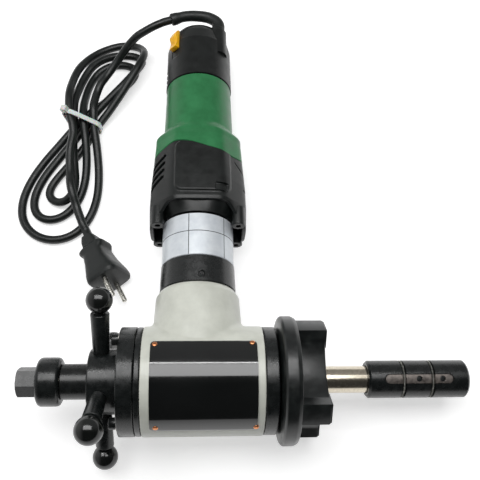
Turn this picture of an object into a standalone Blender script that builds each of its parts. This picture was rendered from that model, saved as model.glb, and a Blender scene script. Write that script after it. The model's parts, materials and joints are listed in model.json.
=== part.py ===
"""Pipe beveling machine with an expanding mandrel, metres, +Z up.

The machine is drawn in its own frame: X runs along the spindle towards the mandrel's nose, Y along the motor
towards its rear, and the two axes cross at the frame's origin. The frame then leans over until the machine
rests on a floor, on the lowest handle ball, the cutter head's rim and the motor's rear cap, with its hank of
cord and its plug lying beside it.
"""
import math

import bmesh
import bpy
import numpy as np
from mathutils import Matrix, Vector

# Gaps and helpers' sizes
SEAT_GAP = 0.0003
MILLIMETRE = 0.001
OVERRUN = 0.002
MERGE_DISTANCE = 0.000001
EDGE_BEVEL = 0.0008
SOFT_EDGE = 0.0015
ROUND_SIDES = 24
SMALL_SIDES = 12
HOLE_SIDES = 8
HEXAGON = 6
SHARP_ANGLE = math.radians(32)
REST_ROUNDS = 40

# Gear housing, with the spindle's bore and the motor's neck
HOUSING_RADIUS = 0.0395
HOUSING_BACK = 0.039
HOUSING_FRONT = 0.047
CHAMBER_RADIUS = 0.0310
CHAMBER_BACK = 0.0275
CHAMBER_FRONT = 0.0325
REAR_SEAT_RADIUS = 0.0263
REAR_SEAT_FRONT = 0.0283
FRONT_SEAT_RADIUS = 0.0303
NECK_RADIUS = 0.0332
NECK_TOP_RADIUS = 0.0323
NECK_LENGTH = 0.0670
NECK_SHOULDER = 0.0625
NECK_FILLET = 0.0050
NECK_THIN_SHARE = 0.82
NECK_CHAMFER = 0.0026
FILLET_STEPS = 2
PINION_TUNNEL_RADIUS = 0.0140

# Rear cover, bearing retainer and front bearing cap
COVER_RADIUS = 0.0392
COVER_BACK = 0.0555
COVER_WALL = 0.0040
RETAINER_THICKNESS = 0.0042
THRUST_RING_BORE = 0.0140
KEY_WIDTH = 0.0040
KEY_DEPTH = 0.0018
CAP_RADIUS = 0.0390
CAP_THICKNESS = 0.0093
COVER_SCREW_INSET = 0.0059
COVER_SCREW_CIRCLE = COVER_RADIUS - COVER_SCREW_INSET
COVER_SCREW_TURN = math.radians(43)
COVER_SCREW_COUNT = 3
COVER_SCREW_HEAD_RADIUS = 0.0042
COVER_SCREW_HEAD_LENGTH = 0.0050
COVER_SCREW_SHANK_RADIUS = 0.0022
COVER_SCREW_SHANK_LENGTH = 0.0090
COVER_SCREW_SOCKET_DEPTH = 0.0025
COVER_SCREW_SOCKET_RADIUS = 0.0023

# Spindle and its bearings
SPINDLE_BORE_REAR = 0.0132
SPINDLE_BORE_FRONT = 0.0102
SPINDLE_BORE_STEP = 0.0080
REAR_JOURNAL_RADIUS = 0.0180
FRONT_JOURNAL_RADIUS = 0.0200
SPINDLE_WAIST_RADIUS = 0.0165
SPINDLE_COLLAR_RADIUS = 0.0220
SPINDLE_COLLAR_WIDTH = 0.0036
SPINDLE_NOSE_RADIUS = 0.0170
SPINDLE_NOSE_LENGTH = 0.0310
REAR_BEARING_WIDTH = 0.0100
FRONT_BEARING_WIDTH = 0.0130
BEARING_SIDES = 24
CUTTER_BACK = 0.0572
CROWN_BACK = 0.0200
CROWN_SEAT_FRONT = 0.0108

# Bevel gears: the crown gear on the spindle, the pinion on the motor's axis
BEVEL_MODULE = 0.001125
CROWN_TEETH = 48
PINION_TEETH = 16
BEVEL_FACE_SHARE = 0.27
BEVEL_BACKLASH = 0.0007
PINION_NECK_RADIUS = 0.0064
PINION_NECK_END = 0.0320
PRESSURE_ANGLE = math.radians(20)
ADDENDUM_SHARE = 0.85
DEDENDUM_SHARE = 1.15

# Cutter head
HEAD_RIM_RADIUS = 0.0470
HEAD_RIM_WIDTH = 0.0073
HEAD_RIM_START = 0.0040
HEAD_FRONT = 0.0318
HEAD_BEVEL_WIDTH = 0.0030
HEAD_BACK_RADIUS = 0.0385
HEAD_NECK_RADIUS = 0.0300
HEAD_NECK_WIDTH = 0.0008
HEAD_RIM_ROUND = 0.0015
LUG_COUNT = 4
LUG_TURN = math.radians(45)
LUG_RADIUS = 0.0455
LUG_HALF_WIDTH = 0.0080
LUG_FOOT_RADIUS = 0.0360
LUG_PAD_FOOT = 0.0300
LUG_STAND = 0.0030
GULLET_RADIUS = 0.0265
GULLET_STEPS = 3

# Mandrel: shaft, barrel, jaws, draw rod and bolt
SHAFT_RADIUS = 0.0098
SHAFT_BORE = 0.0053
SHAFT_REAR = 0.1139
SHAFT_FRONT = 0.1260
BARREL_RADIUS = 0.01375
BARREL_START = 0.1250
BARREL_END = 0.2000
BARREL_CAVITY_RADIUS = 0.0109
BARREL_CHAMFER = 0.0016
BARREL_SOCKET_DEPTH = 0.0013
NOSE_DIMPLE = 0.0020
NOSE_THICKNESS = 0.0060
NOSE_BORE = 0.0055
JAW_COUNT = 3
JAW_TURN = math.radians(104)
JAW_START = 0.1367
JAW_END = 0.1874
JAW_HALF_WIDTH = 0.0032
JAW_CLEARANCE = 0.00035
JAW_TOP = 0.0134
JAW_ROUND_STEPS = 3
JAW_HOLE_RADIUS = 0.0020
JAW_HOLE_DEPTH = 0.0022
JAW_HOLES = (0.1621, 0.1796)
RAMP_SLOPE_SHARE = 0.25
JAW_STEP_GAP = 0.0008
JAW_GROOVE_SINK = 0.0008
RAMP_LENGTH = 0.0220
RAMP_STARTS = (0.1382, 0.1625)
ROD_RADIUS = 0.0050
ROD_REAR = 0.0900
ROD_THREAD_DEPTH = 0.0450
BOLT_STEM_RADIUS = 0.0040
BOLT_STEM_LENGTH = 0.0480
BOLT_HEAD_FLATS = 0.0190
BOLT_HEAD_LENGTH = 0.0142
BOLT_HEAD_CHAMFER = 0.0012
SPRING_PLACES = (0.1510, 0.1724)
SPRING_WIRE_RADIUS = 0.00075
SPRING_SIDES = 4
SPRING_RING_RADIUS = 0.01295
SPRING_GROOVE_WIDTH = 0.0026

# Feed screw: sleeve, stop nut and the four-arm handle
SLEEVE_RADIUS = 0.0128
SLEEVE_FRONT = 0.0130
STOP_NUT_RADIUS = 0.0175
STOP_NUT_LENGTH = 0.0166
STOP_NUT_ROUND = 0.0022
NUT_ROUND_SHARE = 0.29
HUB_RADIUS = 0.0235
HUB_LENGTH = 0.0215
ARM_PLACE_SHARE = 0.40
HUB_CHAMFER = 0.0010
HUB_JOURNAL_RADIUS = 0.0197
HUB_COLLAR_INSET = 0.0041
HUB_COLLAR_RADIUS = COVER_SCREW_CIRCLE - COVER_SCREW_SHANK_RADIUS - HUB_COLLAR_INSET
HUB_COLLAR_WIDTH = 0.0032
THRUST_RING_WIDTH = 0.0034
HANDLE_ARMS = 4
HANDLE_TURN = math.radians(42.4)
SPOKE_SOCKET_DEPTH = 0.0045
SPOKE_STEM_RADIUS = 0.0050
SPOKE_FOOT_RADIUS = 0.0060
SPOKE_FOOT_GAP = 0.0007
SPOKE_TOP_RADIUS = 0.0068
BALL_RADIUS = 0.0095
BALL_REACH = 0.0633
BALL_STEM_RADIUS = 0.0040
BALL_SOCKET_DEPTH = 0.0060
BALL_RINGS = 6

# Adapter ring, gearbox and its planet gears
ADAPTER_LENGTH = 0.0217
ADAPTER_RADIUS = 0.0296
ADAPTER_TOP_RADIUS = 0.0289
ADAPTER_BORE = 0.0205
SET_SCREW_RADIUS = 0.0024
SET_SCREW_DEPTH = 0.0014
SET_SCREW_PLACE = 0.0060
GEARBOX_LENGTH = 0.0354
GEARBOX_RADIUS = 0.0285
GEARBOX_BORE = 0.0256
GEAR_MODULE = 0.0008
SUN_TEETH = 18
PLANET_TEETH = 18
PLANET_COUNT = 3
GEAR_WIDTH = 0.0100
GEAR_BACKLASH = 0.00020
PIN_SIDES = 6
RING_GEAR_INSET = 0.0015
CARRIER_RADIUS = 0.0180
CARRIER_THICKNESS = 0.0045
CARRIER_PIN_RADIUS = 0.0025
PINION_SHAFT_RADIUS = 0.0080
PINION_BEARING_RADIUS = 0.0190
PINION_BEARING_WIDTH = 0.0120
PINION_BEARING_INSET = 0.0230
PINION_BEARING_PLACE = NECK_LENGTH - PINION_BEARING_INSET
GEARBOX_END = NECK_LENGTH + ADAPTER_LENGTH + GEARBOX_LENGTH + 2 * SEAT_GAP

# Motor: gear case, housing, rear cap and what turns inside
CASE_HALF_HEIGHT = 0.0345
CASE_HALF_WIDTH = 0.0393
CASE_CORNER = 0.0382
CASE_CORNER_POWER_SHARE = 22.0
CASE_WALL = 0.0030
CASE_LIP_STEP = 0.0098
CASE_LIP = GEARBOX_END + CASE_LIP_STEP
CASE_LIP_SHARE = 0.985
CASE_EAR = 0.0190
CASE_EAR_START_SHARE = 0.62
CASE_BULKHEAD_STEP = 0.0013
CASE_BULKHEAD = GEARBOX_END + CASE_BULKHEAD_STEP
CASE_BULKHEAD_THICKNESS = 0.0100
CASE_MIDDLE_STEP = 0.0215
CASE_MIDDLE = CASE_LIP + CASE_MIDDLE_STEP
CASE_MIDDLE_SHARE = 0.99
CASE_LENGTH = 0.0485
CASE_SEAM = CASE_LIP + CASE_LENGTH
CASE_SEAM_RISE = 0.0070
CASE_SEAM_TURN = math.radians(-28)
CASE_SEAM_SHARE = 0.945
CASE_BOSS_RADIUS = 0.0052
CASE_BOSS_LENGTH = 0.0195
CASE_BOSS_START = CASE_LIP - CASE_BOSS_LENGTH
CASE_BOSS_ACROSS = 0.0318
CASE_BOSS_UP = 0.0175
CASE_BOSS_SCREW_RADIUS = 0.0021
CASE_VENT_COUNT = 4
CASE_VENT_WIDTH = 0.0024
CASE_VENT_HEIGHT = 0.0180
CASE_VENT_PITCH = 0.0060
CASE_VENT_STEP = 0.0215
CASE_VENT_START = CASE_LIP + CASE_VENT_STEP
CASE_VENT_DEPTH = 0.0060
CASE_VENT_UP = 0.0020
CASE_VENT_LEAN = math.radians(35)
MOTOR_SHOULDER_STEP = 0.0150
MOTOR_SHOULDER = CASE_SEAM + MOTOR_SHOULDER_STEP
MOTOR_SHOULDER_SHARE = 0.92
MOTOR_BLEND_LENGTH = 0.0080
MOTOR_SHOULDER_END = MOTOR_SHOULDER + MOTOR_BLEND_LENGTH
MOTOR_BLEND_SHARE = 0.60
MOTOR_WAIST_STEP = 0.0050
MOTOR_WAIST = MOTOR_SHOULDER_END + MOTOR_WAIST_STEP
MOTOR_RADIUS = 0.0297
MOTOR_BARREL_LENGTH = 0.0516
MOTOR_REAR = MOTOR_WAIST + MOTOR_BARREL_LENGTH
MOTOR_REAR_RADIUS = 0.0286
MOTOR_WALL = 0.0026
REAR_CAP_RADIUS = 0.0293
REAR_CAP_LENGTH = 0.0424
REAR_CAP_SHOULDER = MOTOR_REAR + REAR_CAP_LENGTH
REAR_CAP_SHOULDER_RADIUS = 0.0288
REAR_CAP_ROUND_LENGTH = 0.0230
REAR_CAP_END = REAR_CAP_SHOULDER + REAR_CAP_ROUND_LENGTH
REAR_CAP_ROUND_SHARES = ((0.56, 0.90), (0.87, 0.76), (1.0, 0.56))
REAR_CAP_WALL = 0.0028
REAR_CAP_WEB_STEP = 0.0164
REAR_CAP_WEB = MOTOR_REAR + REAR_CAP_WEB_STEP
REAR_VENT_COUNT = 3
REAR_VENT_WIDTH = 0.0020
REAR_VENT_HEIGHT = 0.0120
REAR_VENT_PITCH = 0.0052
REAR_VENT_STEP = 0.0034
REAR_VENT_START = MOTOR_REAR + REAR_VENT_STEP
SHELL_SIDES = 24
ARMATURE_SHAFT_RADIUS = 0.0040
ARMATURE_CORE_RADIUS = 0.0180
ARMATURE_CORE_STEP = 0.0070
ARMATURE_CORE_START = MOTOR_SHOULDER + ARMATURE_CORE_STEP
ARMATURE_CORE_LENGTH = 0.0430
ARMATURE_SLOTS = 5
ARMATURE_SLOT_DEPTH = 0.0050
ARMATURE_SLOT_SHARES = (0.0, 0.62, 0.68, 0.94)
ARMATURE_BEARING_RADIUS = 0.0110
COMMUTATOR_RADIUS = 0.0110
COMMUTATOR_STEP = 0.0050
COMMUTATOR_START = ARMATURE_CORE_START + ARMATURE_CORE_LENGTH + COMMUTATOR_STEP
COMMUTATOR_LENGTH = 0.0170
ARMATURE_END_STEP = 0.0125
ARMATURE_END = REAR_CAP_WEB + ARMATURE_END_STEP
FAN_STEP = 0.0120
FAN_START = CASE_BULKHEAD + CASE_BULKHEAD_THICKNESS + FAN_STEP
FAN_RADIUS = 0.0280
FAN_HUB_RADIUS = 0.0090
FAN_DISC = 0.0022
FAN_BLADE_COUNT = 5
FAN_BLADE_HEIGHT = 0.0080
FAN_BLADE_THICKNESS = 0.0018
ARMATURE_BEARING_WIDTH = 0.0080
STATOR_BORE = 0.0190

# Switch slider on the rear cap's left flank
SWITCH_TURN = math.radians(-51)
SWITCH_INSET = 0.0085
SWITCH_START = REAR_CAP_SHOULDER - SWITCH_INSET
SWITCH_LENGTH = 0.0200
SWITCH_WIDTH = 0.0088
SWITCH_LOW = 0.0022
SWITCH_HIGH = 0.0048
SWITCH_TOE_SHARE = 0.35
SWITCH_STEM_WIDTH = 0.0050
SWITCH_STEM_LENGTH = 0.0070
SWITCH_STEM_DEPTH = 0.0045
SWITCH_TRAVEL = 0.0060

# Nameplate, a bare curved plate on the housing's viewer side
PLATE_BACK = 0.0325
PLATE_FRONT = 0.0415
PLATE_THICKNESS = 0.0007
PLATE_TURN = math.radians(110.8)
PLATE_HALF_ANGLE = math.radians(49.5)
PLATE_STEPS = 8

# Strain relief, whose route is in the floor's frame, and its boss on the rear cap
RELIEF_BOSS_ACROSS = 0.0172
RELIEF_BOSS_UP = 0.0160
RELIEF_BOSS_RADIUS = 0.0078
RELIEF_BOSS_INSET = 0.0090
RELIEF_BOSS_LENGTH = 0.0230
RELIEF_BOSS_START = REAR_CAP_SHOULDER - RELIEF_BOSS_INSET
RELIEF_BOSS_END = RELIEF_BOSS_START + RELIEF_BOSS_LENGTH
RELIEF_ROOT_RADIUS = 0.0064
RELIEF_ROOT_LENGTH = 0.0035
RELIEF_SEAT_RADIUS = 0.0075
RELIEF_START_RADIUS = 0.0054
RELIEF_END_RADIUS = 0.0047
RELIEF_COLLAR_RADIUS = 0.0056
RELIEF_POINTS = 14
CURVE_STEPS = 24
RELIEF_ROUTE = (
    (0.0169, 0.3306, 0.0422),
    (0.0091, 0.3378, 0.0420),
    (-0.0021, 0.3400, 0.0429),
    (-0.0142, 0.3392, 0.0441),
    (-0.0270, 0.3350, 0.0448),
)

# Cord: its diameter, the lead down to the hank, the hank and the tail to the plug, in the floor's frame
CORD_RADIUS = 0.00375
CORD_LAY_GAP = 0.0001
CORD_CLEARANCE = 0.0009
CORD_BEVEL_STEPS = 1
CORD_TUBE_STEPS = 1
CORD_POINTS_EACH_LOOP = 16
CORD_FINE_STEPS = 5
CORD_NEIGHBOURS = 3
CORD_SETTLE_ROUNDS = 400
CORD_LAST_ROUNDS = 30
CORD_SINK_SHARE = 0.12
LEAD_ROUTE = (
    (-0.0447, 0.3282, 0.0440),
    (-0.0600, 0.3225, 0.0385),
    (-0.0728, 0.3150, 0.0310),
    (-0.0851, 0.3030, 0.0290),
    (-0.0945, 0.2890, 0.0290),
    (-0.1005, 0.2720, 0.0290),
)
LEAD_POINTS = 16
LEAD_HELD_POINTS = 5
LEAD_RANK = 20
WAIST_PLACE = (-0.1100, 0.2460)
WAIST_HEADING = math.radians(255)
WAIST_STEP = 0.0094
WAIST_SHARES = (1.0, -1.0, 0.0, 0.0, -1.0, 1.0, -1.2)
WAIST_RANKS = (4, 1, 5, 2, 6, 3, 7)
WAIST_RANK_REACH = 0.0420
WAIST_LIFT_REACH = 0.0160
LOOP_COUNT = 3
LOOP_RANKS = (1, 1, 2, 2, 3, 3)
LOWER_REACHES = (0.1150, 0.0970, 0.0790)
LOWER_SPREADS = (0.0520, 0.0400, 0.0300)
LOWER_LEANS = (0.0, -0.0060, 0.0)
UPPER_REACHES = (0.0760, 0.0880, 0.0990)
UPPER_SPREADS = (0.0340, 0.0340, 0.0400)
UPPER_LEANS = (0.0300, 0.0240, 0.0140)
HANK_EARLY_POINTS = 3
TAIL_ROUTE = (
    (-0.1170, 0.2330),
    (-0.1192, 0.2121),
    (-0.1165, 0.1850),
    (-0.1105, 0.1640),
    (-0.1040, 0.1470),
)
TAIL_POINTS = 13
TAIL_HELD_POINTS = 2
TAIL_RANK = 21
TIE_WIDTH = 0.0042
TIE_THICKNESS = 0.0012
TIE_GAP = 0.0004
TIE_STEPS = 24
TIE_CORNERS = 4
TIE_HEAD_SIZE = 0.0055
TIE_HEAD_STEP = 7

# Plug
PLUG_NECK = (-0.0985, 0.1322, 0.0100)
PLUG_FRONT = (-0.0760, 0.0895, 0.0178)
PLUG_ROLL = math.radians(18)
PLUG_SHARES = (
    (0.00, 0.34, 0.40),
    (0.10, 0.50, 0.44),
    (0.22, 0.52, 0.48),
    (0.27, 0.86, 0.62),
    (0.33, 0.86, 0.64),
    (0.40, 0.66, 0.68),
    (0.60, 0.74, 0.82),
    (0.85, 0.96, 0.97),
    (0.95, 1.00, 1.00),
    (1.00, 0.92, 0.95),
)
PLUG_HALF_WIDTH = 0.0145
PLUG_HALF_HEIGHT = 0.0172
PLUG_POWER_SHARE = 5.0
PLUG_SIDES = 20
PLUG_PIN_SIDES = 8
PIN_SHARP_ANGLE = math.radians(60)
PIN_RADIUS = 0.0022
PIN_LENGTH = 0.0190
PIN_SPACING = 0.0186
PIN_SEAT_DEPTH = 0.0040


def finish(name, colour, roughness, metallic=0.0):
    """Return a plain Principled material; the colour is in linear light."""
    material = bpy.data.materials.new(name)
    material.use_nodes = True
    shader = material.node_tree.nodes["Principled BSDF"]
    shader.inputs["Base Color"].default_value = (*colour, 1.0)
    shader.inputs["Roughness"].default_value = roughness
    shader.inputs["Metallic"].default_value = metallic
    material.diffuse_color = (*colour, 1.0)
    return material


def empty(name, parent=None, place=(0.0, 0.0, 0.0)):
    """Return an empty that carries pieces which move together."""
    obj = bpy.data.objects.new(name, None)
    obj.empty_display_size = BALL_RADIUS
    obj.location = place
    obj.parent = parent
    bpy.context.scene.collection.objects.link(obj)
    return obj


def piece(name, bm, material, parent, origin=(0.0, 0.0, 0.0), round_shape=True):
    """Make a named object from a bmesh that is drawn in its parent's frame, with its origin at the given point."""
    bmesh.ops.remove_doubles(bm, verts=bm.verts, dist=MERGE_DISTANCE)
    bmesh.ops.recalc_face_normals(bm, faces=bm.faces)
    bmesh.ops.translate(bm, verts=bm.verts, vec=-Vector(origin))
    mesh = bpy.data.meshes.new(name)
    bm.to_mesh(mesh)
    bm.free()
    if round_shape:
        mesh.shade_smooth()
        mesh.set_sharp_from_angle(angle=SHARP_ANGLE)
    mesh.materials.append(material)
    obj = bpy.data.objects.new(name, mesh)
    obj.location = origin
    obj.parent = parent
    bpy.context.scene.collection.objects.link(obj)
    return obj


def tool(name, bm, parent):
    """Make a hidden solid that another piece is cut by, joined with or kept within."""
    obj = piece(name, bm, BRIGHT_STEEL, parent, round_shape=False)
    obj.hide_render = True
    obj.display_type = "WIRE"
    return obj


def combine(obj, other, operation):
    """Cut, join or intersect a piece with a hidden solid, as a live Boolean."""
    modifier = obj.modifiers.new(other.name, "BOOLEAN")
    modifier.operation = operation
    modifier.solver = "EXACT"
    modifier.object = other


def soften(obj, width, segments=1, angle=SHARP_ANGLE):
    """Round a piece's sharp edges."""
    modifier = obj.modifiers.new("edges", "BEVEL")
    modifier.width = width
    modifier.segments = segments
    modifier.limit_method = "ANGLE"
    modifier.angle_limit = angle
    modifier.use_clamp_overlap = True


def circle(along, radius, sides=ROUND_SIDES):
    """Return a ring in cylinder coordinates: distance along the axis, radius and angle for each point."""
    angles = np.arange(sides) * 2 * math.pi / sides
    return np.stack([np.broadcast_to(along, angles.shape), np.broadcast_to(radius, angles.shape), angles], 1)


def around(ring, axis):
    """Turn cylinder coordinates into points: about X the angle runs from +Y to +Z, about Y from +Z to +X."""
    along, radius, angle = ring.T
    if axis == "x":
        return np.stack([along, radius * np.cos(angle), radius * np.sin(angle)], 1)
    return np.stack([radius * np.sin(angle), along, radius * np.cos(angle)], 1)


def zip_rings(bm, first, second, first_angles, second_angles):
    """Join two rings of vertices, with quads where they match and with triangles where their counts differ."""
    n, m = len(first), len(second)
    if n == m:
        for i in range(n):
            j = (i + 1) % n
            bm.faces.new((first[i], first[j], second[j], second[i]))
        return
    i = j = 0
    while i < n or j < m:
        next_first = first_angles[i + 1] if i + 1 < n else first_angles[0] + 2 * math.pi
        next_second = second_angles[j + 1] if j + 1 < m else second_angles[0] + 2 * math.pi
        if j == m or (i < n and next_first <= next_second):
            bm.faces.new((first[i], first[(i + 1) % n], second[j % m]))
            i += 1
        else:
            bm.faces.new((first[i % n], second[(j + 1) % m], second[j]))
            j += 1


def stack(rings, axis="x", hollow=False, centre=None):
    """Skin rings one after the other about an axis. A hollow stack closes on itself, and a solid one has flat ends."""
    bm = bmesh.new()
    loops = []
    for ring in rings:
        points = around(ring, axis)
        if centre is not None:
            points = points + np.array(centre)
        loops.append([bm.verts.new(point) for point in points])
    pairs = list(range(len(rings) - 1)) + ([-1] if hollow else [])
    for k in pairs:
        zip_rings(bm, loops[k], loops[k + 1], rings[k][:, 2], rings[k + 1][:, 2])
    if not hollow:
        bm.faces.new(loops[0])
        bm.faces.new(loops[-1])
    return bm


def turned(outline, axis="x", hollow=False, sides=ROUND_SIDES, centre=None):
    """Turn an outline of (distance along the axis, radius) pairs about the axis."""
    return stack([circle(along, radius, sides) for along, radius in outline], axis, hollow, centre)


def rod(start, end, radius, sides=SMALL_SIDES, end_radius=None):
    """Return a straight cylinder or cone between two points."""
    start, end = Vector(start), Vector(end)
    bm = bmesh.new()
    run = end - start
    bmesh.ops.create_cone(bm, cap_ends=True, segments=sides, radius1=radius,
                          radius2=radius if end_radius is None else end_radius, depth=run.length)
    turn = run.to_track_quat("Z", "Y").to_matrix().to_4x4()
    bmesh.ops.transform(bm, matrix=Matrix.Translation((start + end) / 2) @ turn, verts=bm.verts)
    return bm


def gathered(parts):
    """Put several bmeshes in one."""
    whole = bmesh.new()
    for part in parts:
        mesh = bpy.data.meshes.new("part")
        part.to_mesh(mesh)
        part.free()
        whole.from_mesh(mesh)
        bpy.data.meshes.remove(mesh)
    return whole


def prism(points, offset):
    """Extrude a flat outline of points by an offset."""
    bm = bmesh.new()
    face = bm.faces.new([bm.verts.new(point) for point in points])
    top = bmesh.ops.extrude_face_region(bm, geom=[face])
    moved = [item for item in top["geom"] if isinstance(item, bmesh.types.BMVert)]
    bmesh.ops.translate(bm, verts=moved, vec=offset)
    return bm


def box(low, high):
    """Return a box between two corners."""
    (x0, y0, z0), (x1, y1, z1) = low, high
    return prism([(x0, y0, z0), (x1, y0, z0), (x1, y1, z0), (x0, y1, z0)], (0.0, 0.0, z1 - z0))


def spun(bm, angle, axis):
    """Turn a bmesh about one of the machine's axes and return it."""
    bmesh.ops.rotate(bm, cent=(0.0, 0.0, 0.0), matrix=Matrix.Rotation(angle, 3, axis.upper()), verts=bm.verts)
    return bm


def involute(angle):
    """Return the involute function of a pressure angle."""
    return math.tan(angle) - angle


def tooth_half_angle(radius, pitch_radius, teeth, slack):
    """Return half the angle that an involute tooth takes at a radius; slack thins it at the pitch circle."""
    base = pitch_radius * math.cos(PRESSURE_ANGLE)
    flank = involute(math.acos(min(1.0, base / radius)))
    return math.pi / (2 * teeth) - slack / (2 * pitch_radius) + involute(PRESSURE_ANGLE) - flank


def toothed(teeth, module, slack, phase=0.0, internal=False):
    """Return a spur gear's outline as (radius, angle) points, with a tooth centred at the phase angle."""
    pitch_radius = teeth * module / 2
    inward, outward = (ADDENDUM_SHARE, DEDENDUM_SHARE) if internal else (DEDENDUM_SHARE, ADDENDUM_SHARE)
    radii = [pitch_radius - inward * module, pitch_radius + outward * module]
    if internal:
        halves = [math.pi / teeth - tooth_half_angle(r, pitch_radius, teeth, -slack) for r in radii]
    else:
        halves = [tooth_half_angle(r, pitch_radius, teeth, slack) for r in radii]
    if internal:
        radii, halves = radii[::-1], halves[::-1]
    tooth = [(r, -half) for r, half in zip(radii, halves)] + [(r, half) for r, half in zip(radii[::-1], halves[::-1])]
    pitch = 2 * math.pi / teeth
    return np.array([(r, angle + phase + k * pitch) for k in range(teeth) for r, angle in tooth])


def spur_ring(along, outline):
    """Place a gear outline at a distance along its axis."""
    return np.column_stack([np.full(len(outline), along), outline])


def bevel_ring(teeth, mate_teeth, reach, phase, sign):
    """Return a bevel gear's outline on its back cone, scaled towards the apex by reach; sign is its axis' way.

    A spur gear with the back cone's radius is rolled onto that cone, which keeps its flanks true to its mate.
    """
    pitch_radius = teeth * BEVEL_MODULE / 2
    cone = math.atan2(teeth, mate_teeth)
    virtual_radius = pitch_radius / math.cos(cone)
    virtual_teeth = teeth / math.cos(cone)
    radii = [virtual_radius - DEDENDUM_SHARE * BEVEL_MODULE, virtual_radius + ADDENDUM_SHARE * BEVEL_MODULE]
    halves = [tooth_half_angle(r, virtual_radius, virtual_teeth, BEVEL_BACKLASH) for r in radii]
    tooth = [(r, -half) for r, half in zip(radii, halves)] + [(r, half) for r, half in zip(radii[::-1], halves[::-1])]
    apex = pitch_radius / math.tan(cone) + virtual_radius * math.sin(cone)
    pitch = 2 * math.pi / teeth
    points = [(sign * reach * (apex - r * math.sin(cone)), reach * r * math.cos(cone),
               half / math.cos(cone) + phase + k * pitch) for k in range(teeth) for r, half in tooth]
    return np.array(points)


def case_radius(angles):
    """Return the motor case's radius by angle, a rounded octagon with unlike flats."""
    flats = (CASE_HALF_HEIGHT, CASE_CORNER, CASE_HALF_WIDTH, CASE_CORNER) * 2
    total = np.zeros_like(angles)
    for k, flat in enumerate(flats):
        total += np.maximum(0.0, np.cos(angles - k * math.pi / 4) / flat) ** CASE_CORNER_POWER_SHARE
    return total ** (-1.0 / CASE_CORNER_POWER_SHARE)


def case_ring(along, share=1.0, inset=0.0, round_radius=0.0, round_share=0.0):
    """Return a ring of the motor case's section, shrunk by a share, set in, and blended towards a circle."""
    angles = np.arange(SHELL_SIDES) * 2 * math.pi / SHELL_SIDES
    radius = (1 - round_share) * case_radius(angles) * share + round_share * round_radius - inset
    return np.stack([np.broadcast_to(along, angles.shape), radius, angles], 1)


def seam_line():
    """Return the wavy seam between the gear case and the motor housing, by angle."""
    angles = np.arange(SHELL_SIDES) * 2 * math.pi / SHELL_SIDES
    return CASE_SEAM + CASE_SEAM_RISE * np.cos(2 * (angles - CASE_SEAM_TURN))


def lip_line():
    """Return the gear case's front edge, which reaches forward in an ear at each side."""
    angles = np.arange(SHELL_SIDES) * 2 * math.pi / SHELL_SIDES
    side = np.clip((np.abs(np.sin(angles)) - CASE_EAR_START_SHARE) / (1 - CASE_EAR_START_SHARE), 0.0, 1.0)
    return CASE_LIP - CASE_EAR * side ** 2 * (3 - 2 * side)


def gear_housing(machine):
    """The grey casting: a barrel about the spindle with a neck for the motor, and a fillet where they meet."""
    barrel = turned([(-HOUSING_BACK, 0), (-HOUSING_BACK, HOUSING_RADIUS - EDGE_BEVEL),
                     (-HOUSING_BACK + EDGE_BEVEL, HOUSING_RADIUS), (HOUSING_FRONT - EDGE_BEVEL, HOUSING_RADIUS),
                     (HOUSING_FRONT, HOUSING_RADIUS - EDGE_BEVEL), (HOUSING_FRONT, 0)], sides=SHELL_SIDES)
    housing = piece("gear_housing", barrel, CAST_GREY, machine)
    angles = circle(0.0, 0.0)[:, 2]
    rings = [circle(CHAMBER_RADIUS / 2, NECK_RADIUS)]
    fillet = NECK_FILLET * (1 - NECK_THIN_SHARE * np.cos(angles) ** 2)
    for k in range(FILLET_STEPS + 1):
        turn = k / FILLET_STEPS * math.pi / 2
        radius = NECK_RADIUS + fillet * (1 - math.sin(turn))
        drop = np.sqrt(HOUSING_RADIUS ** 2 - (radius * np.cos(angles)) ** 2)
        lift = fillet * (1 - math.cos(turn)) - (SEAT_GAP if k == 0 else 0.0)
        rings.append(circle(drop + lift, radius))
    rings += [circle(NECK_SHOULDER - NECK_CHAMFER, NECK_TOP_RADIUS),
              circle(NECK_SHOULDER, NECK_TOP_RADIUS - NECK_CHAMFER / 2),
              circle(NECK_LENGTH, ADAPTER_RADIUS + SEAT_GAP)]
    combine(housing, tool("neck", stack(rings, "y"), machine), "UNION")
    chambers = turned([(-HOUSING_BACK - OVERRUN, 0), (-HOUSING_BACK - OVERRUN, REAR_SEAT_RADIUS),
                       (-REAR_SEAT_FRONT, REAR_SEAT_RADIUS), (-CHAMBER_BACK, CHAMBER_RADIUS),
                       (CHAMBER_FRONT, CHAMBER_RADIUS), (CHAMBER_FRONT, FRONT_SEAT_RADIUS),
                       (HOUSING_FRONT + OVERRUN, FRONT_SEAT_RADIUS), (HOUSING_FRONT + OVERRUN, 0)])
    combine(housing, tool("spindle_chambers", chambers, machine), "DIFFERENCE")
    seat = PINION_BEARING_PLACE - SEAT_GAP
    bores = turned([(PINION_TUNNEL_RADIUS, 0), (PINION_TUNNEL_RADIUS, PINION_TUNNEL_RADIUS),
                    (seat, PINION_TUNNEL_RADIUS), (seat, PINION_BEARING_RADIUS + SEAT_GAP),
                    (NECK_LENGTH + OVERRUN, PINION_BEARING_RADIUS + SEAT_GAP), (NECK_LENGTH + OVERRUN, 0)], "y")
    combine(housing, tool("neck_bores", bores, machine), "DIFFERENCE")


def cover_screw_places():
    """Return the angle of each rear cover screw."""
    return [COVER_SCREW_TURN + k * 2 * math.pi / COVER_SCREW_COUNT for k in range(COVER_SCREW_COUNT)]


def on_x(along, radius, angle):
    """Return the point at a distance along X, a radius and an angle from +Y towards +Z."""
    return Vector((along, radius * math.cos(angle), radius * math.sin(angle)))


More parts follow.
